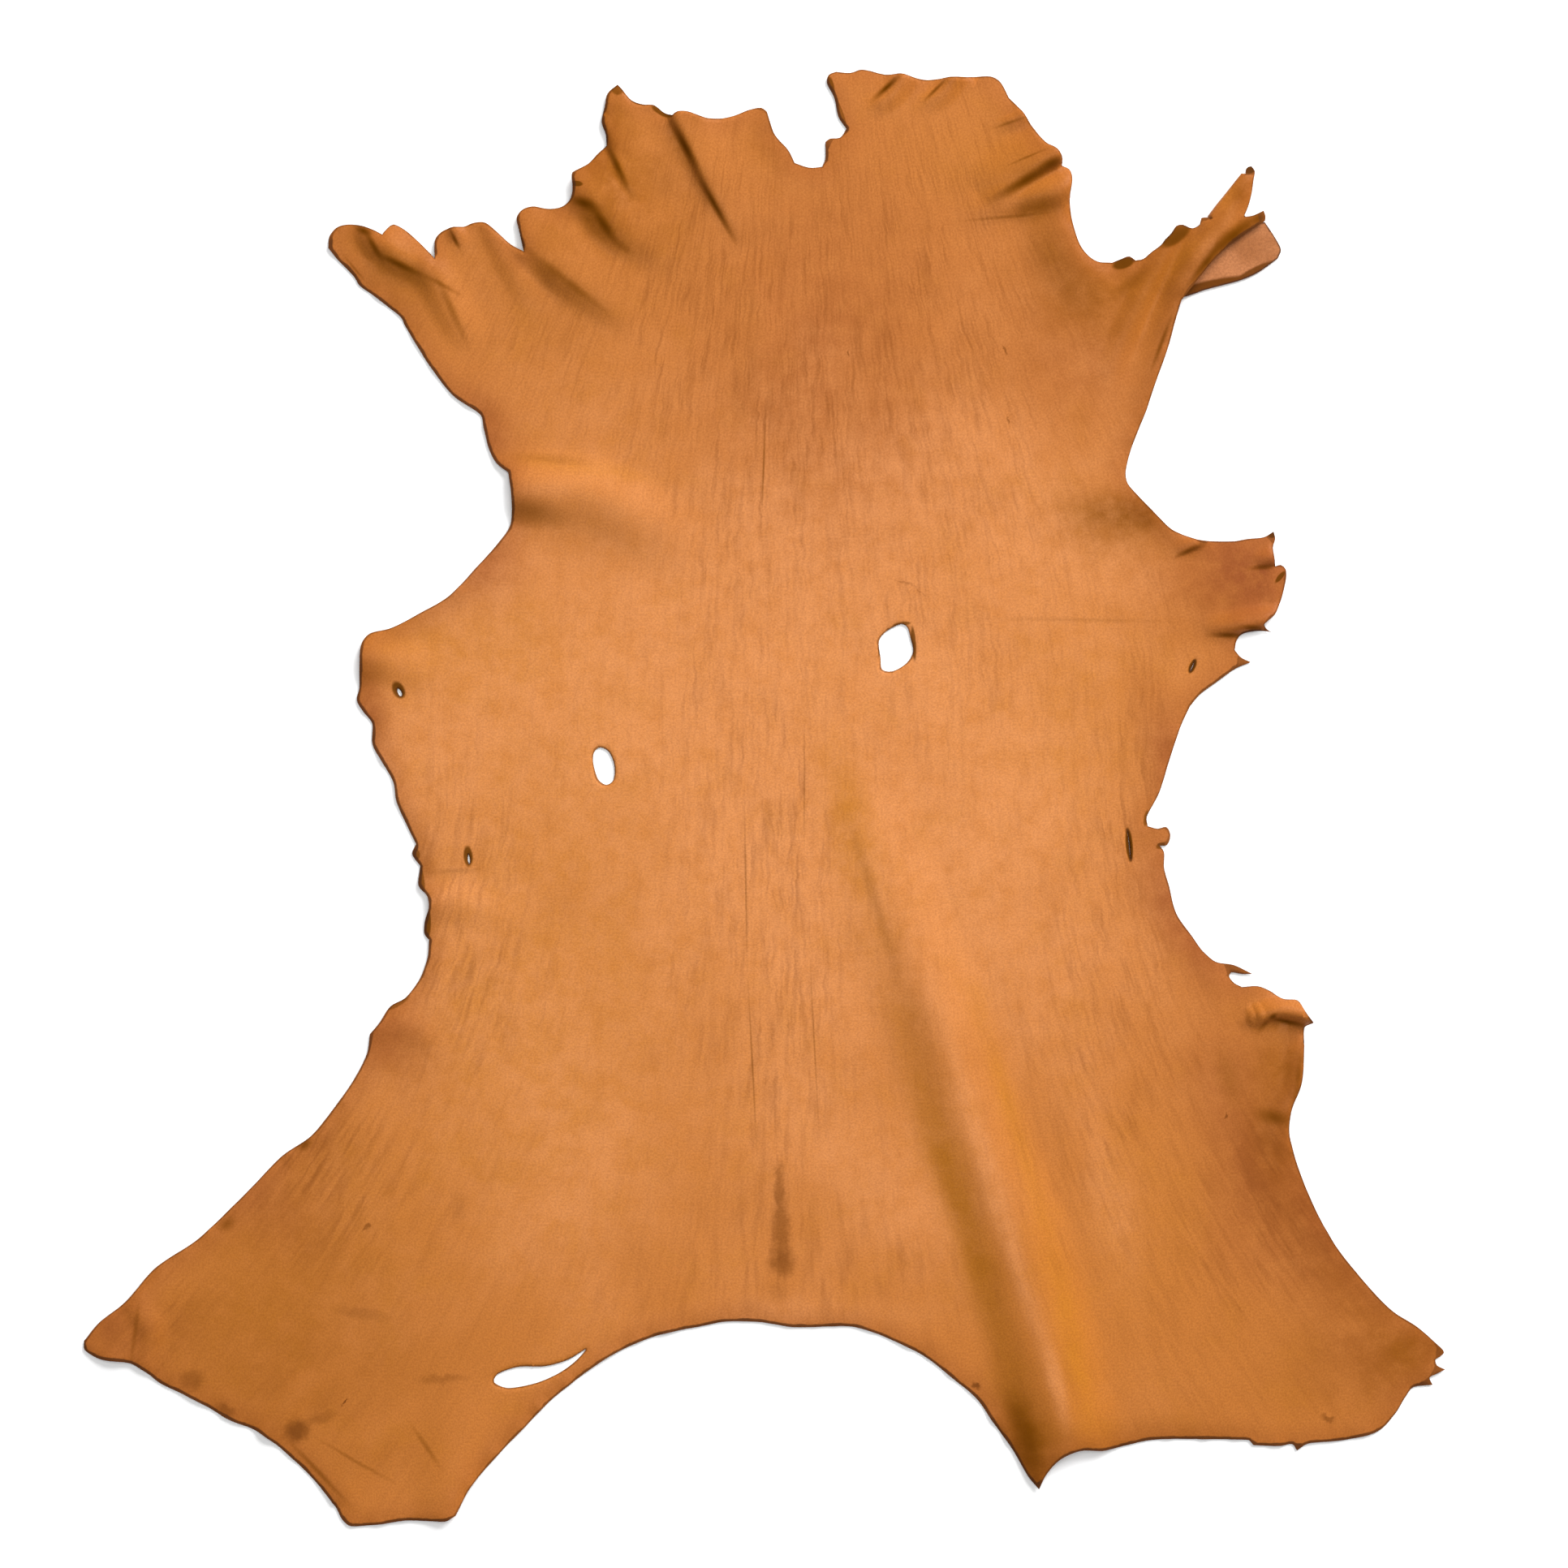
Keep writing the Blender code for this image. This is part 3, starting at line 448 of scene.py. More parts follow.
# Paler dye, and painted highlight on fold crests and on the lit middle of the skin
PALE_AND_LIT_ZONES = (
    ("middle", 900, 930, 420, 420, 0, 0.9),
    ("left of middle", 735, 780, 90, 140, 0, 0.5),
    ("foreleg crest", 1478, 320, 60, 12, 56, 1.0),
    ("arch margin", 1010, 1620, 150, 26, 0, 0.6),
    ("right middle", 1240, 960, 200, 300, 0, 0.7),
    ("left flank", 590, 900, 130, 260, 0, 0.75),
    ("left low", 620, 1220, 110, 200, 10, 0.8),
    ("spine", 985, 1200, 130, 330, 0, 0.6),
    ("lower left", 700, 1420, 220, 220, 30, 0.7),
    ("right of ridge", 1330, 1180, 110, 200, -10, 0.4),
    ("shoulder middle", 1130, 640, 260, 160, 0, 0.8),
    ("right shoulder edge", 1380, 500, 40, 120, 20, 0.3),
    ("lower right", 1100, 1480, 120, 160, 0, 0.5),
    ("ridge crest", 1225, 1470, 12, 220, 17, 0.9),
    ("ridge crest foot", 1300, 1700, 10, 60, 13, 0.9),
    ("right of the band", 1370, 1480, 30, 200, 12, 0.5),
)
LINED_ZONES = (
    ("neck left", 850, 360, 100, 220, 0, 1.0),
    ("neck middle", 980, 450, 140, 260, 0, 0.9),
    ("neck right", 1160, 330, 130, 260, 0, 0.8),
    ("right body", 1180, 700, 140, 260, 0, 0.5),
    ("spine", 960, 1180, 70, 420, 0, 0.9),
    ("left body", 870, 900, 60, 500, 0, 0.4),
    ("left hind leg", 400, 1440, 100, 140, 45, 1.0),
    ("left foot tip", 190, 1640, 60, 70, 0, 0.7),
    ("right hind leg", 1570, 1500, 90, 180, -35, 1.0),
    ("right of ridge", 1380, 1300, 110, 220, -10, 0.7),
    ("right flank", 1380, 1000, 60, 300, -10, 0.7),
    ("left flank", 570, 1150, 80, 180, 0, 0.9),
    ("left shoulder", 640, 420, 100, 120, 0, 0.5),
    ("arch", 1000, 1560, 260, 60, 0, 0.5),
)

ZONE_TABLES = {"ruddy": RUDDY_ZONES, "brown_and_shade": BROWN_AND_SHADE_ZONES, "amber_and_shade": AMBER_AND_SHADE_ZONES,
               "pale_and_lit": PALE_AND_LIT_ZONES, "lined": LINED_ZONES}

# Stains, nicks and shadows of old hair: half sizes in pixels, tilt in degrees
STAINS = (
    ("tail patch top", 960, 1462, 7, 34, 0, 0.5),
    ("tail patch middle", 962, 1515, 13, 42, 0, 0.55),
    ("tail patch foot", 964, 1556, 19, 18, 0, 0.55),
    ("tail patch fade", 957, 1590, 12, 16, 0, 0.2),
    ("arch spot", 1203, 1707, 7, 4, -35, 0.8),
    ("left foot patch", 237, 1699, 17, 14, 0, 0.4),
    ("left foot second patch", 279, 1736, 14, 8, -25, 0.5),
    ("left foot dark", 366, 1762, 18, 16, 20, 0.75),
    ("left foot glow", 395, 1747, 22, 7, 15, 0.3),
    ("left foot faint", 446, 1618, 34, 9, -8, 0.25),
    ("left leg faint", 565, 1488, 12, 26, 0, 0.15),
    ("slot faint", 546, 1698, 34, 7, 3, 0.3),
    ("right foot spot", 1636, 1747, 10, 5, -20, 0.55),
    ("haunch nick", 1509, 1376, 2, 5, -20, 0.7),
    ("neck nick", 1045, 437, 2, 4, 10, 0.7),
    ("shoulder nick", 1238, 432, 2, 6, 20, 0.6),
    ("second nick", 1241, 520, 2, 5, 0, 0.6),
    ("waist nick", 1114, 719, 14, 1.5, -20, 0.35),
    ("waist second nick", 1134, 730, 14, 1.5, -35, 0.25),
    ("foot nick", 426, 1728, 6, 2, 35, 0.9),
    ("leg nick", 453, 1511, 7, 3, 45, 0.6),
)

# Painted shade at the feet of creases, in hollows and beside folds, and single long dark lines, soft
# and unbroken, in the same form as the stains
CREASE_SHADES_AND_LINES = (
    ("neck crease top", 845, 183, 42, 6, -62, 0.95),
    ("neck crease foot", 880, 252, 52, 4.5, -61, 0.9),
    ("horn crease line", 762, 208, 34, 4.5, -65, 0.85),
    ("left foreleg top", 449, 286, 13, 6, -25, 0.9),
    ("left foreleg core", 462, 305, 24, 5, -60, 0.85),
    ("left foreleg core end", 494, 328, 34, 5, -26, 0.85),
    ("left foreleg tail", 545, 352, 30, 4, -28, 0.5),
    ("left foreleg wrinkle", 437, 331, 22, 2, -50, 0.45),
    ("slit core", 720, 252, 22, 8, -22, 0.95),
    ("slit core end", 745, 279, 30, 7, -56, 0.85),
    ("slit tail", 768, 305, 18, 6, -38, 0.4),
    ("lobe core", 702, 350, 66, 6, -38, 0.4),
    ("lobe crease line", 561, 296, 15, 3, -62, 0.8),
    ("top crease line", 1092, 109, 24, 5, 42, 1.0),
    ("second top line", 1152, 112, 20, 3, 45, 0.8),
    ("neck lobe line", 1244, 152, 24, 2.5, 18, 0.5),
    ("neck fold core", 1262, 225, 48, 8, 29, 0.9),
    ("neck fold mouth", 1294, 204, 18, 8, 20, 0.8),
    ("neck fine line", 1265, 196, 30, 2, 22, 0.5),
    ("shoulder line", 1240, 268, 60, 2.5, 5, 0.4),
    ("wing top line", 1464, 679, 20, 4, 25, 0.7),
    ("wing edge line", 1556, 699, 20, 4, 5, 0.7),
    ("wing bottom line", 1514, 783, 21, 4, -2, 0.8),
    ("wing barb line", 1543, 774, 17, 4, -5, 0.8),
    ("pinched line", 1586, 1259, 26, 4, -13, 0.85),
    ("pinched end", 1567, 1251, 6, 4, 30, 0.8),
    ("pinched tail", 1556, 1264, 13, 4, 50, 0.5),
    ("haunch hollow", 1570, 1376, 28, 12, -12, 0.7),
    ("haunch margin", 1598, 1330, 5, 40, -6, 0.5),
    ("spine line", 919, 1090, 1.6, 100, 1, 0.5),
    ("spine line foot", 927, 1310, 1.6, 110, 3, 0.5),
    ("second spine line", 991, 966, 1.5, 80, 0, 0.4),
    ("third spine line", 1003, 1280, 1.5, 110, 3, 0.4),
    ("neck line", 941, 572, 1.6, 60, -2, 0.6),
    ("strap shade", 1518, 292, 52, 11, 40, 0.9),
    ("strap end", 1550, 271, 10, 8, 30, 0.8),
    ("ridge side", 1483, 327, 42, 6, 52, 0.85),
    ("point shade", 1264, 1774, 20, 66, 17, 0.7),
    ("shoulder shade", 1392, 349, 32, 9, 40, 0.35),
    ("foreleg tab shade", 1450, 291, 24, 9, 35, 0.9),
    ("waist shade", 650, 630, 52, 20, -12, 0.5),
    ("waist amber line", 680, 566, 56, 8, -5, 0.25),
    ("left foreleg run", 557, 382, 50, 6, -66, 0.5),
    ("foreleg margin line", 1430, 424, 38, 3.5, 70, 0.7),
    ("haunch fold shade", 1512, 1325, 16, 44, 15, 0.3),
    ("foot crease", 392, 1812, 58, 4, -46, 0.5),
    ("second foot crease", 440, 1800, 60, 3, -30, 0.35),
    ("third foot crease", 526, 1782, 34, 4, -55, 0.4),
    ("foot tip crease", 168, 1640, 4, 44, -8, 0.4),
    ("leg margin shade", 376, 1410, 12, 8, 40, 0.7),
    ("second margin shade", 280, 1508, 14, 9, 30, 0.5),
    ("flank amber line", 560, 1073, 40, 4, 3, 0.25),
    ("body fold line", 1330, 764, 130, 3, -1, 0.2),
    ("head of the trough", 1078, 1110, 9, 110, 17, 0.25),
)

# Curled margins and dark lips with a crisp border, in the same form as the stains: the dark flesh
# and cut edge where margins curl, with painted shadow under the curls, in gaps and inside the holes
CURLS_AND_SHADOWS = (
    ("notch curl", 1384, 325, 14, 6.5, 18, 0.95),
    ("spike tip", 1539, 210, 8, 5.5, 20, 0.95),
    ("wing upper tip", 1567, 659, 5, 4, 0, 0.8),
    ("horn tip", 761, 110, 8, 8, 0, 0.7),
    ("horn frill", 788, 127, 10, 3, -12, 0.8),
    ("horn frill end", 816, 138, 15, 5, -28, 0.9),
    ("slit notch", 711, 228, 8, 3.5, -8, 0.9),
    ("foreleg tab", 1448, 291, 22, 9, 38, 0.8),
    ("neck lobe curl", 1024, 108, 4, 13, 10, 0.8),
    ("neck lobe margin", 1036, 140, 3, 22, 20, 0.6),
    ("frill nub", 513, 1053, 5, 7, 0, 0.7),
    ("frill curl", 519, 1085, 4.5, 20, 8, 0.75),
    ("frill curl foot", 527, 1138, 4.5, 20, -2, 0.85),
    ("haunch margin curl", 490, 1236, 16, 4, 30, 0.6),
    ("flank button foot", 1430, 1042, 6, 4, 20, 0.7),
    ("flank notch", 1412, 1008, 3, 10, -10, 0.7),
    ("right slit lips", 1391, 1041, 4.4, 21, 5, 1.0),
    ("flank slit lips", 577, 1055, 5.6, 13, 4, 0.9),
    ("left wing hole lips", 491.5, 850.5, 7.5, 11.5, 25, 0.9),
    ("wing hole lips", 1469, 821, 4, 9.5, -24, 1.0),
    ("wing curl gap", 1577, 711, 3, 9, -40, 0.9),
    ("oval wound lip", 752, 938, 4, 16, 18, 0.7),
    ("round wound lip", 1125.5, 793, 3, 21, 4, 0.85),
    ("round wound top", 1111, 769, 11, 2.6, 8, 0.7),
    ("round wound corner", 1085, 796, 2.6, 14, -8, 0.8),
)

# The dyed lip along the lower margin of the turned-under end
LIP = (
    ("lip", 1492, 353, 52, 8, 12, 1.0),
    ("lip end", 1546, 335, 28, 5.5, 27, 0.95),
)


def place(rows):
    """Places in metres of rows whose first two columns are across and down."""
    table = np.array(rows, float)
    across = (table[:, 0] - MIDDLE_COLUMN) * PIXEL
    up = (MIDDLE_ROW - table[:, 1]) * PIXEL
    return np.column_stack([across, up])


def on_plan(across, down):
    """One place of the picture in metres, as plain numbers."""
    return (across - MIDDLE_COLUMN) * PIXEL, (MIDDLE_ROW - down) * PIXEL


def way_through(before, middle, after, span):
    """The way that a smooth curve runs through its middle point, for a stretch of a given span."""
    both = math.dist(before[:2], middle[:2]) + math.dist(middle[:2], after[:2])
    return (after - before) / 2 * min(1, 2 * span / both)


def smooth_curve(points, closed, step):
    """A smooth curve through points of any number of columns, its last point left out."""
    if closed:
        padded = [points[-1], *points, points[0], points[1]]
    else:
        padded = [2 * points[0] - points[1], *points, 2 * points[-1] - points[-2]]
    pieces = []
    for before, start, end, after in zip(padded, padded[1:], padded[2:], padded[3:]):
        span = math.dist(start[:2], end[:2])
        parts = math.ceil(span / step)
        shares = np.arange(parts)[:, None] / parts
        leave = way_through(before, start, end, span)
        arrive = way_through(start, end, after, span)
        squared, cubed = shares**2, shares**3
        pieces.append(
            (2 * cubed - 3 * squared + 1) * start
            + (cubed - 2 * squared + shares) * leave
            + (3 * squared - 2 * cubed) * end
            + (cubed - squared) * arrive
        )
    return np.concatenate(pieces)


def outline(stretches, step):
    """An outline made of smooth stretches that meet at corners, its last point left out."""
    return np.concatenate([smooth_curve(place(row[1:]), False, step) for row in stretches])


def crest(rows):
    """A fold's crest as a fine polyline of x, y and height, all in metres."""
    heights = np.array(rows, float)[:, 2] * MILLIMETRE
    points = np.column_stack([place(rows), heights])
    return np.concatenate([smooth_curve(points, False, CREST_STEP), points[-1:]])


def from_crest(points, line):
    """Distance to a crest, its height there, and whether a point lies on its right."""
    nearest = np.full(len(points), np.inf)
    height = np.zeros(len(points))
    on_right = np.zeros(len(points), bool)
    for start, end in zip(line[:-1], line[1:]):
        along = end[:2] - start[:2]
        away = points - start[:2]
        share = np.clip(away @ along / (along @ along), 0, 1)
        distance = np.linalg.norm(away - share[:, None] * along, axis=1)
        closer = distance < nearest
        nearest[closer] = distance[closer]
        height[closer] = (start[2] + share * (end[2] - start[2]))[closer]
        on_right[closer] = (along[1] * away[:, 0] - along[0] * away[:, 1] > 0)[closer]
    return nearest, height, on_right


def crests_of(table):
    """The two widths and the crest of each row of a table of folds, in metres."""
    return [(right * MILLIMETRE, left * MILLIMETRE, crest(rows)) for _, right, left, *rows in table]


CRESTS = crests_of(FOLDS)
WRINKLE_CRESTS = crests_of(WRINKLES)


def ridge_heights(points, crests):
    """The height that a set of folds adds at each point."""
    total = np.zeros(len(points))
    for right, left, line in crests:
        reach = max(right, left)
        low, high = line[:, :2].min(0) - reach, line[:, :2].max(0) + reach
        near = np.all((points > low) & (points < high), axis=1)
        if not near.any():
            continue
        distance, height, on_right = from_crest(points[near], line)
        down = np.clip(distance / np.where(on_right, right, left), 0, 1)
        total[near] += height * (1 - down) ** 2 * (1 + 2 * down)
    return total


def lift(points):
    """How high the flesh side stands off the ground at places on the flat skin."""
    folds = ridge_heights(points, CRESTS) + ridge_heights(points, WRINKLE_CRESTS)
    return folds + swell(points) + frill(points)


def frill(points):
    """Small waves along the margins."""
    near = np.exp(-edge_distance(points, MARGINS) / FRILL_WIDTH)
    waves = [noise.noise((x / FRILL_LENGTH, y / FRILL_LENGTH, 3)) for x, y in points]
    return FRILL_HEIGHT * near * np.clip(np.array(waves) + FRILL_SHARE, 0, None)


def swell(points):
    """A slight unevenness all over the skin."""
    return np.array([
        SWELL_HEIGHT * (0.5 + 0.5 * noise.noise((x / SWELL_LENGTH, y / SWELL_LENGTH, 0)))
        for x, y in points
    ])


def skin(points):
    """The flesh side of the skin at places on it, in three dimensions."""
    return np.column_stack([points, lift(points)])


def crease_frame():
    """The start of the crease, the way it runs and the way out of the skin there."""
    start, end = place([CREASE_START, CREASE_END])
    along = (end - start) / math.dist(start, end)
    return start, along, np.array([-along[1], along[0]])


def turned_places(points):
    """Places as they lie, changed to (along the crease, leather beyond it)."""
    start, along, out = crease_frame()
    away = points - start
    return np.column_stack([away @ along, TURN_LENGTH - away @ out])


def turned(places):
    """The flesh side of the turned-under end: round a half circle, then flat on the ground."""
    start, along, out = crease_frame()
    foot = start + places[:, :1] * along
    top = lift(foot)
    radius = (top - THICKNESS) / 2
    angle = np.clip(places[:, 1] / TURN_LENGTH, 0, 1) * math.pi
    sideways = radius * np.sin(angle) - np.clip(places[:, 1] - TURN_LENGTH, 0, None)
    flat = foot + sideways[:, None] * out
    return np.column_stack([flat, top - radius * (1 - np.cos(angle))])


def both_sides(surface, points):
    """The flesh side and, one thickness off it, the grain side."""
    ahead = surface(points + [PROBE, 0]) - surface(points - [PROBE, 0])
    across = surface(points + [0, PROBE]) - surface(points - [0, PROBE])
    normal = np.cross(ahead, across)
    normal /= np.linalg.norm(normal, axis=1)[:, None]
    flesh = surface(points)
    return flesh, flesh + THICKNESS * normal


def inside(points, loop):
    """Which points lie inside a closed outline."""
    odd = np.zeros(len(points), bool)
    for (x0, y0), (x1, y1) in zip(loop, np.roll(loop, -1, axis=0)):
        if y0 == y1:
            continue
        crosses = (points[:, 1] < y0) != (points[:, 1] < y1)
        reach = x0 + (points[:, 1] - y0) * (x1 - x0) / (y1 - y0)
        odd ^= crosses & (points[:, 0] < reach)
    return odd


def coarseness(points):
    """The mesh level at each point: 0 on narrow folds and near holes, 1 on wide folds, else 2."""
    level = np.full(len(points), 2)
    level[edge_distance(points, HOLE_EDGES) < HOLE_ROOM] = 0
    for right, left, line in CRESTS:
        distance, height, on_right = from_crest(points, line)
        near = (distance < np.where(on_right, right, left)) & (height > MILLIMETRE)
        narrow = min(right, left) < NARROW_FOLD
        level[near] = np.minimum(level[near], 0 if narrow else 1)
    return level


def all_fine(points):
    """The finest mesh level at every point."""
    return np.zeros(len(points), int)


def field(loops, level_of, step):
    """Triangular grid points inside the first loop and outside the others, finer by level."""
    low, high = loops[0].min(0), loops[0].max(0)
    columns, rows = (math.ceil(size) for size in (high - low) / [step, step * ROW_SHARE])
    column, row = (grid.ravel() for grid in np.meshgrid(np.arange(columns), np.arange(rows)))
    points = low + np.column_stack([column + row % 2 / 2, row * ROW_SHARE]) * step
    keep = inside(points, loops[0])
    points, column, row = points[keep], column[keep], row[keep]
    level = level_of(points)
    spacing = 2**level
    keep = (row % spacing == 0) & ((column + spacing // 2 * (row // spacing % 2)) % spacing == 0)
    points, spacing = points[keep], spacing[keep]
    for hole in loops[1:]:
        clear = ~inside(points, hole)
        points, spacing = points[clear], spacing[clear]
    return points[edge_distance(points, loops) > EDGE_ROOM * step * spacing]


def triangulated(loops, extra):
    """Flat triangles that fill the first loop and leave the others open."""
    edges, first = [], 0
    for loop in loops:
        edges += [(first + i, first + (i + 1) % len(loop)) for i in range(len(loop))]
        first += len(loop)
    points = [Vector(place) for place in np.concatenate([*loops, extra])]
    found = delaunay_2d_cdt(points, edges, [], 0, SAME_PLACE)
    points = np.array([tuple(place) for place in found[0]])
    triangles = np.array(found[2])
    middle = points[triangles].mean(1)
    keep = inside(middle, loops[0])
    for hole in loops[1:]:
        keep &= ~inside(middle, hole)
    triangles = triangles[keep]
    ahead = points[triangles[:, 1]] - points[triangles[:, 0]]
    side = points[triangles[:, 2]] - points[triangles[:, 0]]
    back = ahead[:, 0] * side[:, 1] < ahead[:, 1] * side[:, 0]
    triangles[back] = triangles[back][:, ::-1]
    return points, triangles


def rim(triangles):
    """The edges that only one triangle uses, in that triangle's direction."""
    ways = np.concatenate([triangles[:, [0, 1]], triangles[:, [1, 2]], triangles[:, [2, 0]]])
    known = {(a, b) for a, b in ways.tolist()}
    return [(a, b) for a, b in ways.tolist() if (b, a) not in known]


def joined(parts):
    """Several sheets as one, with points in the same place made one."""
    points = np.concatenate([p for p, _ in parts])
    starts = np.cumsum([0] + [len(p) for p, _ in parts[:-1]])
    triangles = np.concatenate([t + start for start, (_, t) in zip(starts, parts)])
    keys = np.round(points[:, :3] / SAME_PLACE).astype(int)
    _, first, same = np.unique(keys, axis=0, return_index=True, return_inverse=True)
    return points[first], same.ravel()[triangles]


def zone_strength(points, zones):
    """How strongly each point lies in a set of soft tilted ellipses, from 0 to 1."""
    strength = np.zeros(len(points))
    for _, across, down, half_width, half_height, tilt, most in zones:
        away = points - on_plan(across, down)
        turn = math.radians(tilt)
        wide = away @ [math.cos(turn), math.sin(turn)] / (half_width * PIXEL)
        high = away @ [-math.sin(turn), math.cos(turn)] / (half_height * PIXEL)
        falls = np.exp(-ZONE_FALL * (wide**2 + high**2))
        strength = 1 - (1 - strength) * (1 - most * falls)
    return strength


def grain_flow(points):
    """Coordinates that run across and along the drawn lines of the grain, in metres."""
    middle, waist = on_plan(SPINE_COLUMN, WAIST_ROW)
    below = np.clip(waist - points[:, 1], 0, None)
    above = np.clip(points[:, 1] - waist, 0, None)
    spread = (1 + (below / FAN_BELOW) ** 2) / (1 + (above / FAN_ABOVE) ** 2)
    return np.column_stack([(points[:, 0] - middle) / spread, points[:, 1], spread])


def margin_values(points):
    """The distance of each point from the outer margin, and how far the margin there faces away from
    the key light, for the rim's painted shade.
    """
    margin = MARGINS[0]
    along = np.roll(margin, -RIM_SHADE_REACH, axis=0) - np.roll(margin, RIM_SHADE_REACH, axis=0)
    outward = np.column_stack([-along[:, 1], along[:, 0]])
    outward /= np.linalg.norm(outward, axis=1)[:, None]
    # how far each margin faces away from the key light, for the rim's painted shade
    faces_away = 0.5 + 0.5 * outward @ RIM_SHADE_WAY
    return np.array([(distance, faces_away[i] if distance < HOLE_ROOM else HOLE_RIM_SHADE)
                     for _, i, distance in nearest_samples(points, margin)])


def nearest_samples(points, samples):
    """The sample nearest to each flat point: its place, its number and its distance."""
    tree = kdtree.KDTree(len(samples))
    for i, (x, y) in enumerate(samples):
        tree.insert((x, y, 0), i)
    tree.balance()
    return [tree.find((x, y, 0)) for x, y in points]


def edge_distance(points, loops):
    """The distance of each point from the nearest of some edges."""
    found = nearest_samples(points, np.concatenate(loops))
    return np.array([distance for _, _, distance in found])


def add_attribute(mesh, name, kind, values):
    made = mesh.attributes.new(name, kind, "POINT")
    made.data.foreach_set("vector" if kind == "FLOAT_VECTOR" else "value", np.ravel(values))


def skin_columns(surface, places, lying, edges):
    """Every value that a point of the skin carries, one row a point."""
    flesh, grain = both_sides(surface, places)
    from_edge = edge_distance(places, edges)
    worn = EDGE_WEAR * np.clip(1 - from_edge / EDGE_ROUND, 0, 1) ** 2
    grain += (flesh - grain) * worn[:, None]
    zones = [zone_strength(lying, table) for table in ZONE_TABLES.values()]
    margin = margin_values(lying)
    return np.column_stack([flesh, grain, grain_flow(lying), from_edge, margin, *zones])


MARGINS = [outline([row for row in EDGE if row[0] != "crease"], EDGE_STEP)]
HOLE_EDGES = [smooth_curve(place(row[1:]), True, EDGE_STEP) for row in HOLES]


def main_part():
    """The skin without its turned-under end."""
    loops = [outline(EDGE, EDGE_STEP), *HOLE_EDGES]
    places, triangles = triangulated(loops, field(loops, coarseness, FINE_STEP))
    return skin_columns(skin, places, places, MARGINS + HOLE_EDGES), triangles


def turned_part():
    """The turned-under end, which meets the rest along the crease."""
    rows = next(row[1:] for row in EDGE if row[0] == "crease")
    crease = turned_places(smooth_curve(place(rows), False, EDGE_STEP))
    free = turned_places(outline(TURNED_END, EDGE_STEP))
    edge = np.concatenate([crease * [1, 0], free[:1] * [1, 0], free[1:]])
    places, triangles = triangulated([edge], field([edge], all_fine, FINE_STEP))
    return skin_columns(turned, places, turned(places)[:, :2], [free]), triangles


def hide_mesh():
    """The closed skin, with its grain side, flesh side and cut edge in materials of their own."""
    rows, triangles = joined([main_part(), turned_part()])
    count = len(rows)
    ends = rim(triangles)
    faces = [tuple(face + count) for face in triangles]
    faces += [tuple(face[::-1]) for face in triangles]
    faces += [(a, b, b + count, a + count) for a, b in ends]
    mesh = bpy.data.meshes.new("hide-skin")
    mesh.from_pydata(np.concatenate([rows[:, :3], rows[:, 3:6]]).tolist(), [], faces)
    slots = [GRAIN] * len(triangles) + [FLESH] * len(triangles) + [CUT] * len(ends)
    mesh.polygons.foreach_set("material_index", slots)
    mesh.polygons.foreach_set("use_smooth", [True] * len(faces))
    doubled = np.concatenate([rows, rows])
    add_attribute(mesh, "flow", "FLOAT_VECTOR", doubled[:, 6:9])
    for column, name in enumerate(("edge", "margin", "rim_shade", *ZONE_TABLES), 9):
        add_attribute(mesh, name, "FLOAT", doubled[:, column])
    mesh.set_sharp_from_angle(angle=math.radians(SHARP_ANGLE))
    mesh.update()
    return mesh


class Tree:
    """A material's nodes, added one at a time."""

    def __init__(self, name):
        self.material = bpy.data.materials.new(name)
        self.material.use_nodes = True
        self.nodes = self.material.node_tree.nodes
        self.links = self.material.node_tree.links
        self.shader = self.nodes["Principled BSDF"]

    def join(self, value, socket):
        if isinstance(value, bpy.types.NodeSocket):
            self.links.new(value, socket)
        else:
            socket.default_value = value

    def add(self, kind, inputs, output=0, **settings):
        """A node with its settings and inputs, and its chosen output."""
        made = self.nodes.new("ShaderNode" + kind)
        for name, value in settings.items():
            setattr(made, name, value)
        for key, value in inputs.items():
            self.join(value, made.inputs[key])
        return made.outputs[output]

    def attribute(self, name, output):
        return self.add("Attribute", {}, output, attribute_name=name)

    def maths(self, kind, first, second=0.0):
        return self.add("Math", {0: first, 1: second}, operation=kind)

    def blend(self, share, first, second, kind="MIX"):
        inputs = {0: share, 6: first, 7: second}
        return self.add("Mix", inputs, 2, data_type="RGBA", blend_type=kind)

    def ranged(self, value, low, high, first=0.0, last=1.0):
        inputs = {0: value, 1: low, 2: high, 3: first, 4: last}
        return self.add("MapRange", inputs, interpolation_type="SMOOTHSTEP")

    def clouds(self, vector, scale, detail=3.0, rough=0.55):
        """Noise from 0 to 1."""
        return self.add("TexNoise", {"Vector": vector, "Scale": scale, "Detail": detail,
                                     "Roughness": rough})

    def streaks(self, vector, scales, detail, rough=0.55):
        """Noise from 0 to 1, scaled apart along each way of a vector."""
        scaled = self.add("VectorMath", {0: vector, 1: scales}, operation="MULTIPLY")
        return self.clouds(scaled, 1.0, detail, rough)

    def bump(self, height, strength, distance, under=None):
        inputs = {"Strength": strength, "Distance": distance, "Height": height}
        if under is not None:
            inputs["Normal"] = under
        return self.add("Bump", inputs)

    def finished(self, inputs):
        """The material, once its shader has its named inputs."""
        for name, value in inputs.items():
            self.join(value, self.shader.inputs[name])
        return self.material


def marked(tree, colour, where, rows, border, dye):
    """A colour with the tilted ellipses of a table painted over it, stains or painted shade; a
    border runs from out to in.
    """
    outer, inner = border
    for _, across, down, half_width, half_height, tilt, strength in rows:
        x, y = on_plan(across, down)
        inputs = {0: where, 1: (x, y, 0), 2: (0, 0, math.radians(tilt)),
                  3: (half_width * PIXEL * outer, half_height * PIXEL * outer, 1)}
        local = tree.add("Mapping", inputs, vector_type="TEXTURE")
        inward = tree.add("TexGradient", {0: local}, 1, gradient_type="SPHERICAL")
        share = tree.ranged(inward, 0.0, 1 - inner / outer, 0.0, strength)
        colour = tree.blend(share, colour, dye)
    return colour


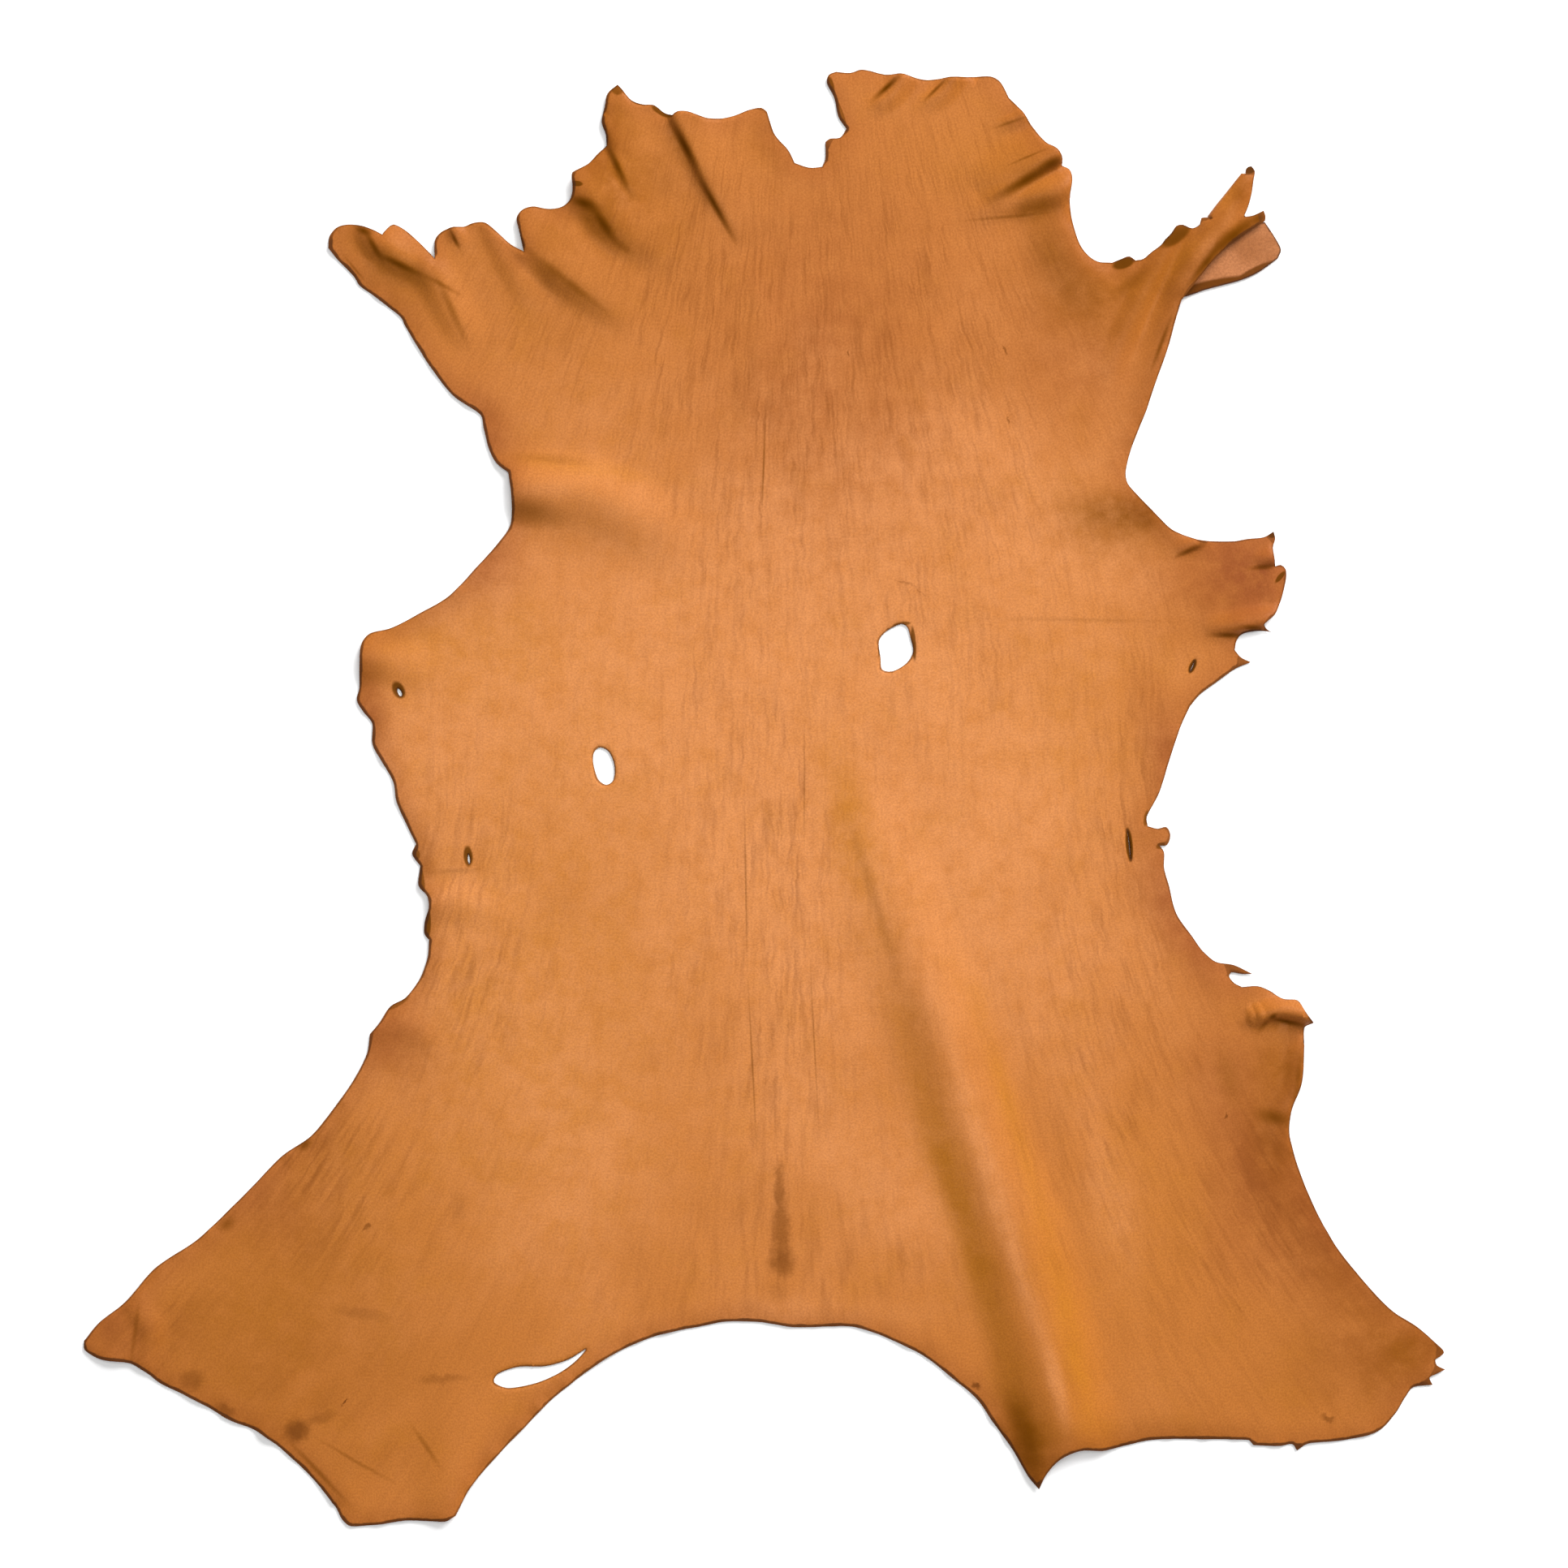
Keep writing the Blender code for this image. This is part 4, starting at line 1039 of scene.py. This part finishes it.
def moved(tree, where, scale, distance):
    """Places moved a little way by noise, which makes what is drawn there ragged or wavy."""
    there = tree.add("TexNoise", {"Vector": where, "Scale": scale, "Detail": 3.0}, 1)
    centred = tree.add("VectorMath", {0: there, 1: (0.5, 0.5, 0.5)}, operation="SUBTRACT")
    step = tree.add("VectorMath", {0: centred, "Scale": distance}, operation="SCALE")
    return tree.add("VectorMath", {0: where, 1: step}, operation="ADD")


def dyed(tree, where, mottle):
    """The cloudy dye, with the zones of other tones, partly painted shade on fold slopes and in
    hollows and painted highlight on crests and the lit middle, and a darker margin.
    """
    clouds = tree.clouds(where, CLOUDS, 4.0)
    patches = tree.clouds(where, PATCHES, 5.0, 0.6)
    fine = tree.clouds(where, FINE_MOTTLE, 3.0, 0.6)
    # the pale zones are partly painted highlight
    pale_and_lit = tree.maths("ADD", tree.attribute("pale_and_lit", 2), tree.ranged(clouds, 0.3, 0.7, -0.2, 0.2))
    colour = tree.blend(tree.ranged(pale_and_lit, 0.0, 1.0), TAN_DEEP, TAN_PALE)
    colour = tree.blend(tree.ranged(mottle, 0.4, 0.75, 0.0, 0.5), colour, TAN_WARM)
    colour = tree.blend(tree.ranged(patches, 0.5, 0.72, 0.0, 0.25), colour, AMBER)
    colour = tree.blend(tree.ranged(fine, 0.45, 0.75, 0.0, 0.22), colour, TAN_WARM)
    uneven = tree.maths("MULTIPLY", tree.ranged(mottle, 0.3, 0.6, 0.6, 1.0),
                        tree.ranged(patches, 0.35, 0.6, 0.75, 1.05))
    # the ruddy zones are dye; the amber and brown zones are partly painted shade
    for name, dye in (("amber_and_shade", AMBER), ("ruddy", RUDDY), ("brown_and_shade", BROWN)):
        share = tree.maths("MULTIPLY", tree.attribute(name, 2), uneven)
        colour = tree.blend(share, colour, dye)
    margin = tree.ranged(tree.attribute("margin", 2), RUDDY_MARGIN, 0.0, 0.0, 0.3)
    return tree.blend(margin, colour, RUDDY)


def hair_lines(tree, where):
    """Coarse and thin lines drawn along the grain, 0 between lines and strongest where lined."""
    flow = tree.attribute("flow", 1)
    spread = tree.maths("MAXIMUM", tree.add("SeparateXYZ", {0: flow}, 2), 1.0)
    wander = tree.maths("DIVIDE", LINE_WANDER, tree.maths("POWER", spread, 4.0))
    flow = moved(tree, flow, WANDER_SCALE, wander)
    lined = tree.maths("ADD", tree.attribute("lined", 2), LINED_LEAST)
    broken = tree.ranged(tree.streaks(where, LINE_BREAKS, 2.0), 0.35, 0.6, 0.3, 1.0)
    lined = tree.maths("MULTIPLY", lined, broken)
    drawn = (tree.streaks(flow, scales, 2.0, 0.45) for scales in (COARSE_LINES, THIN_LINES))
    return [tree.maths("MULTIPLY", tree.ranged(line, 0.55, 0.36), lined) for line in drawn]


def rimmed(tree, colour, mottle):
    """A colour with the dark rim of the cut edge, widened by painted shade on the margins that face
    away from the key light.
    """
    edge = tree.attribute("edge", 2)
    rim_shade = tree.ranged(tree.attribute("rim_shade", 2), 0.35, 0.85)
    ragged = tree.maths("ADD", edge, tree.ranged(mottle, 0.3, 0.7, -RIM_RAGGED, RIM_RAGGED))
    width = tree.maths("ADD", tree.maths("MULTIPLY", rim_shade, RIM_MORE), RIM_LEAST)
    share = tree.ranged(tree.maths("DIVIDE", ragged, width), 1.25, 0.7)
    # painted shade also darkens the rim on the margins away from the key light
    depth = tree.maths("ADD", tree.maths("MULTIPLY", rim_shade, 0.4), 0.45)
    return tree.blend(tree.maths("MULTIPLY", share, depth), colour, EDGE_BROWN)


def grain_material():
    """The dyed grain side: cloudy tan with drawn lines, stains, painted shade in creases, under
    curls and at the rims away from the key light, painted highlight on crests, and dark edges.
    """
    tree = Tree("hide-grain")
    where = tree.add("VectorMath", {0: tree.add("TexCoord", {}, 3), 1: (1, 1, 0)},
                     operation="MULTIPLY")
    mottle = tree.clouds(where, MOTTLE, 5.0, 0.65)
    speckle = tree.clouds(where, SPECKLE, 2.0, 0.7)
    coarse, thin = hair_lines(tree, where)
    colour = dyed(tree, where, mottle)
    colour = tree.blend(tree.maths("MULTIPLY", coarse, 0.19), colour, LINE_BROWN)
    colour = tree.blend(tree.maths("MULTIPLY", thin, 0.2), colour, LINE_BROWN)
    colour = tree.blend(tree.ranged(speckle, 0.3, 0.7, 0.0, 0.30), colour, LINE_BROWN)
    ragged = moved(tree, where, STAIN_RAGGED_SCALE, STAIN_RAGGED)
    colour = marked(tree, colour, ragged, STAINS, STAIN_BORDER, STAIN)
    # painted shade at the feet of creases and in hollows
    colour = marked(tree, colour, where, CREASE_SHADES_AND_LINES, CREASE_BORDER, SHADE_AND_LINE_BROWN)
    # dark curls, with painted shadow under them and inside the holes
    colour = marked(tree, colour, where, CURLS_AND_SHADOWS, CURL_BORDER, CURL_AND_SHADOW_BROWN)
    colour = rimmed(tree, colour, mottle)
    redness = tree.add("SeparateColor", {0: colour})
    relief = tree.bump(coarse, -0.9, 0.0012)
    relief = tree.bump(thin, -0.9, 0.0009, relief)
    relief = tree.bump(speckle, 0.2, 0.0004, relief)
    return tree.finished({"Base Color": colour, "Normal": relief,
                          "Roughness": tree.ranged(mottle, 0.3, 1.0, 0.46, 0.66),
                          "Specular IOR Level": tree.ranged(redness, 0.15, 0.5, 0.01, 0.18)})


def flesh_material():
    """The flesh side: a paler, matt, fibrous suede, with a dyed lip at its edge."""
    tree = Tree("hide-flesh")
    where = tree.add("TexCoord", {}, 3)
    clouds = tree.clouds(where, SUEDE_CLOUDS, 4.0)
    fibres = tree.clouds(where, SUEDE_FIBRES, 4.0, 0.75)
    colour = tree.blend(tree.ranged(clouds, 0.35, 0.65), SUEDE_PALE, SUEDE_DEEP)
    colour = tree.blend(tree.ranged(fibres, 0.35, 0.65, 0.0, 0.35), colour, SUEDE_DARK)
    colour = marked(tree, colour, where, LIP, LIP_BORDER, LIP_BROWN)
    rim = tree.ranged(tree.attribute("edge", 2), 0.0022, 0.0004, 0.0, 0.85)
    return tree.finished({"Base Color": tree.blend(rim, colour, EDGE_BROWN),
                          "Normal": tree.bump(fibres, 0.5, 0.0008), "Roughness": 0.95,
                          "Sheen Weight": 0.08, "Specular IOR Level": 0.1})


def cut_material():
    """The cut edge: dark where the dye has soaked in."""
    tree = Tree("hide-cut-edge")
    where = tree.add("TexCoord", {}, 3)
    fibres = tree.streaks(where, CUT_FIBRES, 4.0, 0.7)
    colour = tree.blend(tree.ranged(fibres, 0.35, 0.7), EDGE_BROWN, EDGE_PALE)
    return tree.finished({"Base Color": colour, "Normal": tree.bump(fibres, 0.4, 0.0006),
                          "Roughness": 0.85})


def hide():
    """The skin in its materials, in place of the plain solid."""
    made = bpy.data.objects.new("hide-skin", hide_mesh())
    for material in (grain_material(), flesh_material(), cut_material()):
        made.data.materials.append(material)
    bpy.context.scene.collection.objects.link(made)
    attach(made, "root")
    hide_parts("hide")


def floor():
    """A plain white floor that the hide lies on."""
    reach, down = FLOOR_REACH, -FLOOR_DROP
    corners = [(-reach, -reach, down), (reach, -reach, down), (reach, reach, down),
               (-reach, reach, down)]
    mesh = bpy.data.meshes.new("studio-floor")
    mesh.from_pydata(corners, [], [(0, 1, 2, 3)])
    made = bpy.data.objects.new("studio-floor", mesh)
    matt = {"Base Color": FLOOR_WHITE, "Roughness": 1.0, "Specular IOR Level": 0.0}
    made.data.materials.append(Tree("studio-floor").finished(matt))
    bpy.context.scene.collection.objects.link(made)


def soft_box(name, stands_at, side, watts):
    """A square soft box that faces the middle of the hide."""
    data = bpy.data.lights.new(name, "AREA")
    data.size = side
    data.energy = watts * OVER_WHITE
    made = bpy.data.objects.new(name, data)
    made.location = stands_at
    made.rotation_mode = "QUATERNION"
    made.rotation_quaternion = (-Vector(stands_at)).to_track_quat("-Z", "Y")
    bpy.context.scene.collection.objects.link(made)


def studio():
    """Soft light from beyond the neck and a wide soft box overhead."""
    soft_box("key", *KEY_LIGHT)
    soft_box("top", *TOP_LIGHT)
    world = bpy.data.worlds.new("studio")
    world.use_nodes = True
    sky = world.node_tree.nodes["Background"].inputs
    sky["Color"].default_value = (1, 1, 1, 1)
    sky["Strength"].default_value = SKY_LIGHT * OVER_WHITE
    bpy.context.scene.world = world
    bpy.context.scene.view_settings.view_transform = "Standard"


def camera():
    """A camera straight above, which sees the picture's whole frame on the ground."""
    data = bpy.data.cameras.new("camera")
    data.lens = LENS
    data.sensor_width = SENSOR
    made = bpy.data.objects.new("camera", data)
    side = PICTURE_SIDE * PIXEL
    x, y = on_plan(PICTURE_SIDE / 2, PICTURE_SIDE / 2)
    made.location = (x, y, side * LENS / SENSOR)
    bpy.context.scene.collection.objects.link(made)
    bpy.context.scene.camera = made


hide()
floor()
studio()
camera()
